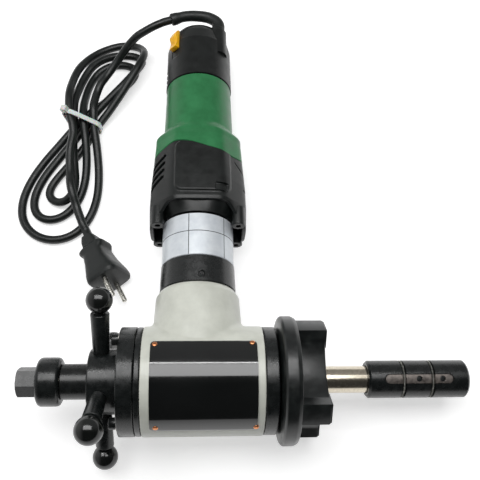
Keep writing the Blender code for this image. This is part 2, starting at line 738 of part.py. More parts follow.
def rear_cover(machine):
    """The black cover that holds the feed hub's collar, its screws, the thrust ring and the keyed retainer."""
    back = -COVER_BACK
    front = -HOUSING_BACK - RETAINER_THICKNESS - 2 * SEAT_GAP
    recess = back + COVER_WALL
    cover = piece("rear_cover", turned([
        (front, COVER_RADIUS), (back + EDGE_BEVEL, COVER_RADIUS), (back, COVER_RADIUS - EDGE_BEVEL),
        (back, HUB_JOURNAL_RADIUS + SEAT_GAP), (recess, HUB_JOURNAL_RADIUS + SEAT_GAP),
        (recess, HUB_COLLAR_RADIUS + SEAT_GAP), (front, HUB_COLLAR_RADIUS + SEAT_GAP)], hollow=True,
        sides=SHELL_SIDES), BLACK_STEEL, machine)
    for k, angle in enumerate(cover_screw_places()):
        mouth = on_x(back - OVERRUN, COVER_SCREW_CIRCLE, angle)
        floor = on_x(back + COVER_SCREW_SHANK_LENGTH + SEAT_GAP, COVER_SCREW_CIRCLE, angle)
        hole = rod(mouth, floor, COVER_SCREW_SHANK_RADIUS + SEAT_GAP, HOLE_SIDES)
        combine(cover, tool(f"cover_hole_{k + 1}", hole, machine), "DIFFERENCE")
        head = back - SEAT_GAP
        places = [(head - COVER_SCREW_HEAD_LENGTH, 0), (head - COVER_SCREW_HEAD_LENGTH, COVER_SCREW_HEAD_RADIUS),
                  (head, COVER_SCREW_HEAD_RADIUS), (head, COVER_SCREW_SHANK_RADIUS),
                  (back + COVER_SCREW_SHANK_LENGTH, COVER_SCREW_SHANK_RADIUS), (back + COVER_SCREW_SHANK_LENGTH, 0)]
        middle = on_x(0.0, COVER_SCREW_CIRCLE, angle)
        screw = piece(f"cover_screw_{k + 1}", turned(places, sides=HOLE_SIDES, centre=middle), BLACK_STEEL,
                      machine)
        socket = turned([(head - COVER_SCREW_HEAD_LENGTH - OVERRUN, COVER_SCREW_SOCKET_RADIUS),
                         (head - COVER_SCREW_HEAD_LENGTH + COVER_SCREW_SOCKET_DEPTH, COVER_SCREW_SOCKET_RADIUS)],
                        sides=HEXAGON, centre=middle)
        combine(screw, tool(f"screw_socket_{k + 1}", socket, machine), "DIFFERENCE")
    ring_end = front - SEAT_GAP
    piece("thrust_ring", turned([
        (ring_end, HUB_COLLAR_RADIUS), (ring_end - THRUST_RING_WIDTH, HUB_COLLAR_RADIUS),
        (ring_end - THRUST_RING_WIDTH, THRUST_RING_BORE), (ring_end, THRUST_RING_BORE)], hollow=True),
        BRIGHT_STEEL, machine)
    plate_front = -HOUSING_BACK - SEAT_GAP
    plate_back = plate_front - RETAINER_THICKNESS
    retainer = piece("bearing_retainer", turned([
        (plate_front, CAP_RADIUS), (plate_back, CAP_RADIUS), (plate_back, SLEEVE_RADIUS + SEAT_GAP),
        (plate_front, SLEEVE_RADIUS + SEAT_GAP)], hollow=True, sides=SHELL_SIDES), BLACK_STEEL, machine)
    reach = SLEEVE_RADIUS - KEY_DEPTH + SEAT_GAP
    half = KEY_WIDTH / 2 - SEAT_GAP
    key = box((plate_back, -half, -SLEEVE_RADIUS - OVERRUN), (plate_front, half, -reach))
    combine(retainer, tool("retainer_key", key, machine), "UNION")


def front_bearing_cap(machine):
    """The black cap that closes the front bearing's seat."""
    back = HOUSING_FRONT + SEAT_GAP
    front = back + CAP_THICKNESS
    bore = FRONT_JOURNAL_RADIUS + SEAT_GAP
    piece("front_bearing_cap", turned([
        (back, CAP_RADIUS), (front - EDGE_BEVEL, CAP_RADIUS), (front, CAP_RADIUS - EDGE_BEVEL), (front, bore),
        (back, bore)], hollow=True, sides=SHELL_SIDES), BLACK_STEEL, machine)


def bearing(name, start, width, bore, radius, machine, axis):
    """A sealed ball bearing, drawn as one ring."""
    end = start + width
    piece(name, turned([(start, bore), (start, radius), (end, radius), (end, bore)], axis, hollow=True,
                       sides=BEARING_SIDES), BRIGHT_STEEL, machine)


def bearings(machine):
    """The two bearings of the spindle, and those of the pinion and of the armature."""
    bearing("rear_spindle_bearing", -HOUSING_BACK + SEAT_GAP, REAR_BEARING_WIDTH, REAR_JOURNAL_RADIUS + SEAT_GAP,
            REAR_SEAT_RADIUS - SEAT_GAP, machine, "x")
    bearing("front_spindle_bearing", CHAMBER_FRONT + SEAT_GAP, FRONT_BEARING_WIDTH, FRONT_JOURNAL_RADIUS + SEAT_GAP,
            FRONT_SEAT_RADIUS - SEAT_GAP, machine, "x")
    bearing("pinion_bearing", PINION_BEARING_PLACE, PINION_BEARING_WIDTH, PINION_SHAFT_RADIUS + SEAT_GAP,
            PINION_BEARING_RADIUS, machine, "y")
    bearing("front_armature_bearing", CASE_BULKHEAD + SEAT_GAP, ARMATURE_BEARING_WIDTH,
            ARMATURE_SHAFT_RADIUS + SEAT_GAP, ARMATURE_BEARING_RADIUS, machine, "y")
    bearing("rear_armature_bearing", REAR_CAP_WEB + SEAT_GAP, ARMATURE_BEARING_WIDTH,
            ARMATURE_SHAFT_RADIUS + SEAT_GAP, ARMATURE_BEARING_RADIUS, machine, "y")


def spindle(cutter):
    """The hollow spindle, with its two journals, a flange for the crown gear and a nose for the cutter head."""
    rear = -HOUSING_BACK + SEAT_GAP
    flange = -CROWN_BACK - SEAT_GAP
    nose = CUTTER_BACK
    piece("spindle", turned([
        (rear, REAR_JOURNAL_RADIUS), (flange - SPINDLE_COLLAR_WIDTH, REAR_JOURNAL_RADIUS),
        (flange - SPINDLE_COLLAR_WIDTH, SPINDLE_COLLAR_RADIUS), (flange, SPINDLE_COLLAR_RADIUS),
        (flange, REAR_JOURNAL_RADIUS), (-CROWN_SEAT_FRONT, REAR_JOURNAL_RADIUS),
        (-CROWN_SEAT_FRONT, SPINDLE_WAIST_RADIUS), (CHAMBER_FRONT - 2 * SPINDLE_COLLAR_WIDTH, SPINDLE_WAIST_RADIUS),
        (CHAMBER_FRONT - SPINDLE_COLLAR_WIDTH, SPINDLE_COLLAR_RADIUS), (CHAMBER_FRONT, SPINDLE_COLLAR_RADIUS),
        (CHAMBER_FRONT, FRONT_JOURNAL_RADIUS), (nose - SEAT_GAP, FRONT_JOURNAL_RADIUS),
        (nose - SEAT_GAP, SPINDLE_NOSE_RADIUS), (nose + SPINDLE_NOSE_LENGTH, SPINDLE_NOSE_RADIUS),
        (nose + SPINDLE_NOSE_LENGTH, SPINDLE_BORE_FRONT), (SPINDLE_BORE_STEP, SPINDLE_BORE_FRONT),
        (SPINDLE_BORE_STEP, SPINDLE_BORE_REAR), (rear, SPINDLE_BORE_REAR)], hollow=True), BRIGHT_STEEL, cutter)


def crown_gear(cutter):
    """The large bevel gear, pressed on the spindle, with a tooth gap where the pinion's tooth stands."""
    phase = math.pi / CROWN_TEETH
    large = bevel_ring(CROWN_TEETH, PINION_TEETH, 1.0, phase, -1)
    small = bevel_ring(CROWN_TEETH, PINION_TEETH, 1.0 - BEVEL_FACE_SHARE, phase, -1)
    bore = REAR_JOURNAL_RADIUS + SEAT_GAP
    front = small[:, 0].min()
    rim = large[:, 1].min() - EDGE_BEVEL
    rings = [large, circle(large[:, 0].min() - EDGE_BEVEL, rim), circle(-CROWN_BACK, rim - EDGE_BEVEL),
             circle(-CROWN_BACK, bore), circle(front, bore), small]
    piece("crown_gear", stack(rings, hollow=True), BRIGHT_STEEL, cutter, round_shape=False)


def cutter_outline():
    """Return a quarter of the cutter head's lobed outline as (Y, Z) places, from one lug to the next."""
    tip = math.asin(LUG_HALF_WIDTH / LUG_RADIUS)
    points = [(LUG_RADIUS * math.cos(a), LUG_RADIUS * math.sin(a)) for a in (-tip, 0.0, tip)]
    first = np.array((LUG_FOOT_RADIUS, LUG_HALF_WIDTH))
    turn = 2 * math.pi / LUG_COUNT
    last = np.array((first[0] * math.cos(turn) + first[1] * math.sin(turn),
                     first[0] * math.sin(turn) - first[1] * math.cos(turn)))
    middle = GULLET_RADIUS * np.array((math.cos(turn / 2), math.sin(turn / 2)))
    chord = np.linalg.norm(last - first)
    sag = np.linalg.norm((first + last) / 2 - middle)
    radius = (chord ** 2 / 4 + sag ** 2) / (2 * sag)
    centre = middle * (1 + radius / GULLET_RADIUS)
    start = math.atan2(*(first - centre)[::-1])
    sweep = math.atan2(*(last - centre)[::-1]) - start
    sweep = (sweep + math.pi) % (2 * math.pi) - math.pi
    for k in range(GULLET_STEPS + 1):
        angle = start + sweep * k / GULLET_STEPS
        points.append((centre[0] + radius * math.cos(angle), centre[1] + radius * math.sin(angle)))
    return points


def cutter_head(cutter):
    """The head that turns round the pipe's end: a rim, and four lugs that stand forward and take the cutting bits."""
    back = CUTTER_BACK
    rim = back + HEAD_RIM_START
    front = back + HEAD_FRONT
    disc = [(back, 0), (back, HEAD_NECK_RADIUS), (back + HEAD_NECK_WIDTH, HEAD_BACK_RADIUS),
            (rim - HEAD_RIM_ROUND, HEAD_RIM_RADIUS - HEAD_RIM_ROUND), (rim, HEAD_RIM_RADIUS),
            (rim + HEAD_RIM_WIDTH, HEAD_RIM_RADIUS),
            (rim + HEAD_RIM_WIDTH + HEAD_BEVEL_WIDTH, HEAD_RIM_RADIUS - HEAD_RIM_ROUND),
            (rim + HEAD_RIM_WIDTH + HEAD_BEVEL_WIDTH, 0)]
    head = piece("cutter_head", turned(disc, sides=SHELL_SIDES), BLACK_STEEL, cutter)
    turn = 2 * math.pi / LUG_COUNT
    outline = []
    for k in range(LUG_COUNT):
        angle = LUG_TURN + k * turn
        for y, z in cutter_outline():
            outline.append((rim, y * math.cos(angle) - z * math.sin(angle),
                            y * math.sin(angle) + z * math.cos(angle)))
    body = prism(outline, (front - rim, 0.0, 0.0))
    combine(head, tool("cutter_lobes", body, cutter), "UNION")
    tip = LUG_RADIUS * math.cos(math.asin(LUG_HALF_WIDTH / LUG_RADIUS)) - SEAT_GAP
    half = LUG_HALF_WIDTH - SEAT_GAP
    pads = []
    for k in range(LUG_COUNT):
        pad = box((front - OVERRUN, LUG_PAD_FOOT, -half), (front + LUG_STAND, tip, half))
        pads.append(spun(pad, LUG_TURN + k * turn, "x"))
    combine(head, tool("cutter_pads", gathered(pads), cutter), "UNION")
    bores = turned([(back - OVERRUN, 0), (back - OVERRUN, SPINDLE_NOSE_RADIUS + SEAT_GAP),
                    (back + SPINDLE_NOSE_LENGTH + SEAT_GAP, SPINDLE_NOSE_RADIUS + SEAT_GAP),
                    (back + SPINDLE_NOSE_LENGTH + SEAT_GAP, SPINDLE_BORE_FRONT + SEAT_GAP),
                    (front + LUG_STAND + OVERRUN, SPINDLE_BORE_FRONT + SEAT_GAP), (front + LUG_STAND + OVERRUN, 0)])
    combine(head, tool("cutter_bores", bores, cutter), "DIFFERENCE")


def nameplate(machine):
    """The bare plate on the housing, bent round the barrel."""
    inner = HOUSING_RADIUS + SEAT_GAP
    bm = bmesh.new()
    rows = []
    for k in range(PLATE_STEPS + 1):
        angle = PLATE_TURN + PLATE_HALF_ANGLE * (2 * k / PLATE_STEPS - 1)
        rows.append([bm.verts.new(on_x(along, radius, angle)) for along, radius in (
            (-PLATE_BACK, inner), (-PLATE_BACK, inner + PLATE_THICKNESS), (PLATE_FRONT, inner + PLATE_THICKNESS),
            (PLATE_FRONT, inner))])
    for first, second in zip(rows, rows[1:]):
        zip_rings(bm, first, second, None, None)
    bm.faces.new(rows[0])
    bm.faces.new(rows[-1])
    piece("nameplate", bm, BLACK_GLOSS, machine)


def mandrel(mandrel_body, draw_bolt_body, draw_rod_body):
    """The mandrel that holds the pipe from inside: shaft, feed sleeve, stop nut, barrel, nose and draw rod."""
    piece("mandrel_shaft", turned([
        (-SHAFT_REAR, SHAFT_RADIUS), (SHAFT_FRONT, SHAFT_RADIUS), (SHAFT_FRONT, SHAFT_BORE),
        (-SHAFT_REAR, SHAFT_BORE)], hollow=True), NICKEL_STEEL, mandrel_body)
    nut_front = -SHAFT_REAR - SEAT_GAP + STOP_NUT_LENGTH
    nut_back = -SHAFT_REAR - SEAT_GAP
    bore = SHAFT_RADIUS + SEAT_GAP
    piece("stop_nut", turned([
        (nut_back, bore), (nut_back, STOP_NUT_RADIUS - STOP_NUT_ROUND),
        (nut_back + STOP_NUT_ROUND * NUT_ROUND_SHARE, STOP_NUT_RADIUS - STOP_NUT_ROUND * NUT_ROUND_SHARE),
        (nut_back + STOP_NUT_ROUND, STOP_NUT_RADIUS), (nut_front - STOP_NUT_ROUND, STOP_NUT_RADIUS),
        (nut_front - STOP_NUT_ROUND * NUT_ROUND_SHARE, STOP_NUT_RADIUS - STOP_NUT_ROUND * NUT_ROUND_SHARE),
        (nut_front, STOP_NUT_RADIUS - STOP_NUT_ROUND), (nut_front, bore)], hollow=True), BLACK_STEEL, mandrel_body)
    sleeve_back = nut_front + SEAT_GAP
    sleeve = piece("feed_sleeve", turned([
        (sleeve_back, SLEEVE_RADIUS), (-SLEEVE_FRONT, SLEEVE_RADIUS), (-SLEEVE_FRONT, bore), (sleeve_back, bore)],
        hollow=True), BLACK_STEEL, mandrel_body)
    keyway = box((sleeve_back - OVERRUN, -KEY_WIDTH / 2, -SLEEVE_RADIUS - OVERRUN),
                 (-SLEEVE_FRONT + OVERRUN, KEY_WIDTH / 2, -SLEEVE_RADIUS + KEY_DEPTH))
    combine(sleeve, tool("sleeve_keyway", keyway, mandrel_body), "DIFFERENCE")
    bolt_start = nut_back - SEAT_GAP - BOLT_HEAD_LENGTH
    corner = BOLT_HEAD_FLATS / math.sqrt(3)
    bolt = piece("draw_bolt", turned([
        (bolt_start, 0), (bolt_start, corner - BOLT_HEAD_CHAMFER), (bolt_start + BOLT_HEAD_CHAMFER / 2, corner),
        (nut_back - SEAT_GAP, corner), (nut_back - SEAT_GAP, 0)], sides=HEXAGON), BLACK_STEEL, draw_bolt_body,
        round_shape=False)
    for vertex in bolt.data.vertices:
        vertex.co = Matrix.Rotation(math.pi / 2, 3, "X") @ vertex.co
    stem_end = bolt_start + BOLT_HEAD_LENGTH + BOLT_STEM_LENGTH
    stem = rod((nut_back - OVERRUN, 0, 0), (stem_end, 0, 0), BOLT_STEM_RADIUS)
    combine(bolt, tool("bolt_stem", stem, draw_bolt_body), "UNION")
    cavity_end = BARREL_END - NOSE_THICKNESS
    rod_outline = [(-ROD_REAR, 0), (-ROD_REAR, ROD_RADIUS)]
    for start in RAMP_STARTS:
        top = ROD_RADIUS + RAMP_LENGTH * RAMP_SLOPE_SHARE
        rod_outline += [(start, ROD_RADIUS), (start + RAMP_LENGTH, top), (start + RAMP_LENGTH, ROD_RADIUS)]
    rod_outline += [(cavity_end - SEAT_GAP, ROD_RADIUS), (cavity_end - SEAT_GAP, 0)]
    draw_rod = piece("draw_rod", turned(rod_outline, sides=SMALL_SIDES), BRIGHT_STEEL, draw_rod_body)
    thread = rod((-ROD_REAR - OVERRUN, 0, 0), (-ROD_REAR + ROD_THREAD_DEPTH, 0, 0), BOLT_STEM_RADIUS + SEAT_GAP)
    combine(draw_rod, tool("rod_thread", thread, draw_rod_body), "DIFFERENCE")
    barrel_outline = [(BARREL_START, SHAFT_RADIUS + SEAT_GAP), (BARREL_START, BARREL_RADIUS - BARREL_CHAMFER),
                      (BARREL_START + BARREL_CHAMFER, BARREL_RADIUS)]
    groove = SPRING_RING_RADIUS - SPRING_WIRE_RADIUS - SEAT_GAP
    for place in SPRING_PLACES:
        low, high = place - SPRING_GROOVE_WIDTH / 2, place + SPRING_GROOVE_WIDTH / 2
        barrel_outline += [(low, BARREL_RADIUS), (low, groove), (high, groove), (high, BARREL_RADIUS)]
    barrel_outline += [(BARREL_END - BARREL_CHAMFER, BARREL_RADIUS), (BARREL_END, BARREL_RADIUS - BARREL_CHAMFER),
                       (BARREL_END, BARREL_CAVITY_RADIUS),
                       (BARREL_START + BARREL_SOCKET_DEPTH, BARREL_CAVITY_RADIUS),
                       (BARREL_START + BARREL_SOCKET_DEPTH, SHAFT_RADIUS + SEAT_GAP)]
    barrel = piece("mandrel_barrel", turned(barrel_outline, hollow=True), BLACK_STEEL, mandrel_body)
    for k in range(JAW_COUNT):
        slot = jaw_prism(JAW_HALF_WIDTH + JAW_CLEARANCE, JAW_CLEARANCE, k)
        combine(barrel, tool(f"jaw_slot_{k + 1}", slot, mandrel_body), "DIFFERENCE")
    piece("nose_plug", turned([
        (cavity_end, 0), (cavity_end, BARREL_CAVITY_RADIUS - SEAT_GAP),
        (BARREL_END, BARREL_CAVITY_RADIUS - SEAT_GAP), (BARREL_END, NOSE_BORE),
        (BARREL_END - NOSE_DIMPLE, NOSE_BORE), (BARREL_END - NOSE_DIMPLE, 0)], sides=SMALL_SIDES), BLACK_STEEL,
        mandrel_body)
    for k, place in enumerate(SPRING_PLACES):
        wire = circle(0.0, SPRING_WIRE_RADIUS, SPRING_SIDES)[:, 2]
        outline = [(place + SPRING_WIRE_RADIUS * math.cos(a), SPRING_RING_RADIUS + SPRING_WIRE_RADIUS * math.sin(a))
                   for a in wire]
        piece(f"garter_spring_{k + 1}", turned(outline, hollow=True), BRIGHT_STEEL, mandrel_body)


def jaw_turn(k):
    """Return the angle of a jaw, from +Y towards +Z."""
    return JAW_TURN + k * 2 * math.pi / JAW_COUNT


def jaw_prism(half_width, spare, k):
    """Return a jaw's plan, a bar with round ends, as a prism through the barrel's wall at the jaw's angle."""
    start, end = JAW_START - spare, JAW_END + spare
    points = []
    for centre, first in ((end - half_width, -math.pi / 2), (start + half_width, math.pi / 2)):
        for step in range(JAW_ROUND_STEPS + 1):
            angle = first + math.pi * step / JAW_ROUND_STEPS
            points.append((centre + half_width * math.cos(angle), ROD_RADIUS, half_width * math.sin(angle)))
    return spun(prism(points, (0.0, BARREL_RADIUS, 0.0)), jaw_turn(k), "x")


def jaws(jaw_bodies):
    """Three jaws that two ramps on the draw rod push out through the barrel's slots, kept in by garter springs."""
    groove = SPRING_RING_RADIUS - SPRING_WIRE_RADIUS - JAW_GROOVE_SINK
    under = ROD_RADIUS + SEAT_GAP
    top = under + RAMP_LENGTH * RAMP_SLOPE_SHARE
    first, second = RAMP_STARTS
    for k, body in enumerate(jaw_bodies):
        side = [(JAW_START, under), (first, under), (first + RAMP_LENGTH, top),
                (first + RAMP_LENGTH + JAW_STEP_GAP, top), (first + RAMP_LENGTH + JAW_STEP_GAP, under),
                (second + SEAT_GAP, under), (second + RAMP_LENGTH + SEAT_GAP, top), (JAW_END, top)]
        side += [(JAW_END, JAW_TOP)]
        for place in SPRING_PLACES[::-1]:
            low, high = place - SPRING_GROOVE_WIDTH / 2, place + SPRING_GROOVE_WIDTH / 2
            side += [(high, JAW_TOP), (high, groove), (low, groove), (low, JAW_TOP)]
        side += [(JAW_START, JAW_TOP)]
        profile = prism([(x, r, -JAW_HALF_WIDTH) for x, r in side], (0.0, 0.0, 2 * JAW_HALF_WIDTH))
        jaw = piece(f"jaw_{k + 1}", spun(profile, jaw_turn(k), "x"), DARK_STEEL, body, round_shape=False)
        plan = jaw_prism(JAW_HALF_WIDTH, 0.0, k)
        combine(jaw, tool(f"jaw_plan_{k + 1}", plan, body), "INTERSECT")
        for number, place in enumerate(JAW_HOLES):
            hole = rod(on_x(place, JAW_TOP - JAW_HOLE_DEPTH, jaw_turn(k)), on_x(place, BARREL_RADIUS + OVERRUN,
                                                                               jaw_turn(k)), JAW_HOLE_RADIUS, HOLE_SIDES)
            combine(jaw, tool(f"jaw_hole_{k + 1}_{number + 1}", hole, body), "DIFFERENCE")


def handle(handle_body):
    """The feed hub with its collar, and four arms with balls."""
    hub_back = -COVER_BACK - HUB_LENGTH - SEAT_GAP
    hub_front = -COVER_BACK - SEAT_GAP
    recess = -COVER_BACK + COVER_WALL + SEAT_GAP
    bore = SLEEVE_RADIUS + SEAT_GAP
    hub = piece("feed_hub", turned([
        (hub_back, bore), (hub_back, HUB_RADIUS - HUB_CHAMFER), (hub_back + HUB_CHAMFER, HUB_RADIUS),
        (hub_front - HUB_CHAMFER, HUB_RADIUS), (hub_front, HUB_RADIUS - HUB_CHAMFER),
        (hub_front, HUB_JOURNAL_RADIUS), (recess, HUB_JOURNAL_RADIUS), (recess, HUB_COLLAR_RADIUS),
        (recess + HUB_COLLAR_WIDTH, HUB_COLLAR_RADIUS), (recess + HUB_COLLAR_WIDTH, bore)], hollow=True),
        BLACK_STEEL, handle_body)
    arm_place = hub_back + HUB_LENGTH * ARM_PLACE_SHARE
    for k in range(HANDLE_ARMS):
        angle = HANDLE_TURN + k * 2 * math.pi / HANDLE_ARMS
        way = on_x(0.0, 1.0, angle)
        start = Vector((arm_place, 0.0, 0.0))
        floor = HUB_RADIUS - SPOKE_SOCKET_DEPTH
        socket = rod(start + way * floor, start + way * (HUB_RADIUS + OVERRUN), SPOKE_STEM_RADIUS + SEAT_GAP)
        combine(hub, tool(f"hub_socket_{k + 1}", socket, handle_body), "DIFFERENCE")
        foot = HUB_RADIUS + SPOKE_FOOT_GAP
        reach = BALL_REACH - BALL_RADIUS - SEAT_GAP
        outline = [(floor + SEAT_GAP, 0), (floor + SEAT_GAP, SPOKE_STEM_RADIUS), (foot, SPOKE_STEM_RADIUS),
                   (foot + EDGE_BEVEL, SPOKE_FOOT_RADIUS), (reach - SOFT_EDGE, SPOKE_TOP_RADIUS),
                   (reach, SPOKE_TOP_RADIUS - SOFT_EDGE), (reach, BALL_STEM_RADIUS),
                   (reach + BALL_SOCKET_DEPTH, BALL_STEM_RADIUS), (reach + BALL_SOCKET_DEPTH, 0)]
        arm = turned(outline, "y", sides=SMALL_SIDES)
        spoke = piece(f"handle_spoke_{k + 1}", spun(arm, angle, "x"), BLACK_STEEL, handle_body)
        spoke.location = start
        ball = bmesh.new()
        bmesh.ops.create_uvsphere(ball, u_segments=SMALL_SIDES, v_segments=BALL_RINGS, radius=BALL_RADIUS)
        knob = piece(f"handle_ball_{k + 1}", ball, BLACK_GLOSS, handle_body)
        knob.location = start + way * BALL_REACH
        pole = way * -BALL_RADIUS
        hole = rod(pole - way * OVERRUN, pole + way * (BALL_SOCKET_DEPTH + SEAT_GAP), BALL_STEM_RADIUS + SEAT_GAP)
        cutter = tool(f"ball_socket_{k + 1}", hole, handle_body)
        cutter.location = start + way * BALL_REACH
        combine(knob, cutter, "DIFFERENCE")


def planet_angle(k):
    """Return a planet gear's angle about the motor's axis, from +Z towards +X."""
    return k * 2 * math.pi / PLANET_COUNT


def on_y(along, radius, angle):
    """Return the point at a distance along Y, a radius and an angle from +Z towards +X."""
    return Vector((radius * math.sin(angle), along, radius * math.cos(angle)))


def gear_train(machine, output_body, planet_bodies):
    """The pinion shaft with its planet carrier, the planets, the ring gear, the adapter ring and the sleeve."""
    large = bevel_ring(PINION_TEETH, CROWN_TEETH, 1.0, -math.pi / 2, 1)
    small = bevel_ring(PINION_TEETH, CROWN_TEETH, 1.0 - BEVEL_FACE_SHARE, -math.pi / 2, 1)
    small_end = small[:, 0].max() + EDGE_BEVEL
    face = circle(small[:, 0].min() - SEAT_GAP, small[:, 1].min() - EDGE_BEVEL, SMALL_SIDES)
    neck = large[:, 0].max() + SEAT_GAP
    adapter_end = NECK_LENGTH + SEAT_GAP + ADAPTER_LENGTH
    carrier = adapter_end - CARRIER_THICKNESS - SEAT_GAP
    rings = [face, small, large, circle(neck, PINION_NECK_RADIUS, SMALL_SIDES),
             circle(PINION_NECK_END, PINION_NECK_RADIUS, SMALL_SIDES),
             circle(PINION_NECK_END, PINION_SHAFT_RADIUS, SMALL_SIDES),
             circle(carrier, PINION_SHAFT_RADIUS, SMALL_SIDES), circle(carrier, CARRIER_RADIUS),
             circle(carrier + CARRIER_THICKNESS, CARRIER_RADIUS)]
    shaft = piece("pinion_shaft", stack(rings, "y"), BRIGHT_STEEL, output_body, round_shape=False)
    ring_start = adapter_end + RING_GEAR_INSET
    planet_start = carrier + CARRIER_THICKNESS + RING_GEAR_INSET
    centre = (SUN_TEETH + PLANET_TEETH) * GEAR_MODULE / 2
    pins = [rod(on_y(carrier + SEAT_GAP, centre, planet_angle(k)), on_y(planet_start + GEAR_WIDTH, centre,
                planet_angle(k)), CARRIER_PIN_RADIUS, PIN_SIDES) for k in range(PLANET_COUNT)]
    combine(shaft, tool("carrier_pins", gathered(pins), output_body), "UNION")
    for k, body in enumerate(planet_bodies):
        outline = toothed(PLANET_TEETH, GEAR_MODULE, GEAR_BACKLASH, planet_angle(k) + math.pi / PLANET_TEETH)
        bore = CARRIER_PIN_RADIUS / math.cos(math.pi / PIN_SIDES) + SEAT_GAP
        rings = [spur_ring(planet_start, outline), spur_ring(planet_start + GEAR_WIDTH, outline),
                 circle(planet_start + GEAR_WIDTH, bore, PIN_SIDES), circle(planet_start, bore, PIN_SIDES)]
        hub = on_y(0.0, centre, planet_angle(k))
        piece(f"planet_gear_{k + 1}", stack(rings, "y", hollow=True, centre=hub), BRIGHT_STEEL, body, hub,
              round_shape=False)
    outline = toothed(SUN_TEETH + 2 * PLANET_TEETH, GEAR_MODULE, GEAR_BACKLASH, 0.0, internal=True)
    rim = GEARBOX_BORE - SEAT_GAP
    rings = [spur_ring(ring_start, outline), spur_ring(ring_start + GEAR_WIDTH + RING_GEAR_INSET, outline),
             circle(ring_start + GEAR_WIDTH + RING_GEAR_INSET, rim), circle(ring_start, rim)]
    piece("ring_gear", stack(rings, "y", hollow=True), BRIGHT_STEEL, machine, round_shape=False)
    ring = piece("adapter_ring", turned([
        (NECK_LENGTH + SEAT_GAP, ADAPTER_RADIUS), (adapter_end, ADAPTER_TOP_RADIUS),
        (adapter_end, ADAPTER_BORE), (NECK_LENGTH + SEAT_GAP, ADAPTER_BORE)], "y", hollow=True), BLACK_STEEL,
        machine)
    for k, angle in enumerate((0.0, math.pi / 2, -math.pi / 2)):
        place = NECK_LENGTH + SET_SCREW_PLACE
        recess = rod(on_y(place, ADAPTER_TOP_RADIUS - SET_SCREW_DEPTH, angle), on_y(place, ADAPTER_RADIUS +
                     OVERRUN, angle), SET_SCREW_RADIUS, HOLE_SIDES)
        combine(ring, tool(f"set_screw_recess_{k + 1}", recess, machine), "DIFFERENCE")
    sleeve_start = adapter_end + SEAT_GAP
    piece("gearbox_sleeve", turned([
        (sleeve_start, GEARBOX_RADIUS), (sleeve_start + GEARBOX_LENGTH, GEARBOX_RADIUS),
        (sleeve_start + GEARBOX_LENGTH, GEARBOX_BORE), (sleeve_start, GEARBOX_BORE)], "y", hollow=True),
        LABEL_SILVER, machine)


def armature(rotor):
    """The motor's rotor: the sun gear on its tip, the slotted core, the commutator, and the fan beside them."""
    adapter_end = NECK_LENGTH + SEAT_GAP + ADAPTER_LENGTH
    sun_start = adapter_end + 2 * RING_GEAR_INSET
    outline = toothed(SUN_TEETH, GEAR_MODULE, GEAR_BACKLASH)
    slots = []
    for k in range(ARMATURE_SLOTS):
        for share, radius in zip(ARMATURE_SLOT_SHARES, (ARMATURE_CORE_RADIUS, ARMATURE_CORE_RADIUS,
                                                        ARMATURE_CORE_RADIUS - ARMATURE_SLOT_DEPTH,
                                                        ARMATURE_CORE_RADIUS - ARMATURE_SLOT_DEPTH)):
            slots.append((radius, (k + share) * 2 * math.pi / ARMATURE_SLOTS))
    slots = np.array(slots)
    core_end = ARMATURE_CORE_START + ARMATURE_CORE_LENGTH
    commutator_end = COMMUTATOR_START + COMMUTATOR_LENGTH
    thin, small = ARMATURE_SHAFT_RADIUS, SMALL_SIDES
    rings = [spur_ring(sun_start, outline), spur_ring(sun_start + GEAR_WIDTH, outline),
             circle(sun_start + GEAR_WIDTH, thin, small), circle(ARMATURE_CORE_START, thin, small),
             spur_ring(ARMATURE_CORE_START, slots), spur_ring(core_end, slots), circle(core_end, thin, small),
             circle(COMMUTATOR_START, thin, small), circle(COMMUTATOR_START, COMMUTATOR_RADIUS, small),
             circle(commutator_end, COMMUTATOR_RADIUS, small), circle(commutator_end, thin, small),
             circle(ARMATURE_END, thin, small)]
    piece("armature", stack(rings, "y"), BRIGHT_STEEL, rotor, round_shape=False)
    bore = thin + SEAT_GAP
    fan = piece("cooling_fan", turned([
        (FAN_START, bore), (FAN_START, FAN_HUB_RADIUS), (FAN_START + FAN_BLADE_HEIGHT, FAN_HUB_RADIUS),
        (FAN_START + FAN_BLADE_HEIGHT, FAN_RADIUS), (FAN_START + FAN_BLADE_HEIGHT + FAN_DISC, FAN_RADIUS),
        (FAN_START + FAN_BLADE_HEIGHT + FAN_DISC, bore)], "y", hollow=True), BLACK_PLASTIC, rotor)
    blades = []
    for k in range(FAN_BLADE_COUNT):
        blade = box((-FAN_BLADE_THICKNESS / 2, FAN_START, FAN_HUB_RADIUS - SOFT_EDGE),
                    (FAN_BLADE_THICKNESS / 2, FAN_START + FAN_BLADE_HEIGHT + SOFT_EDGE, FAN_RADIUS - SOFT_EDGE))
        blades.append(spun(blade, k * 2 * math.pi / FAN_BLADE_COUNT, "y"))
    combine(fan, tool("fan_blades", gathered(blades), rotor), "UNION")


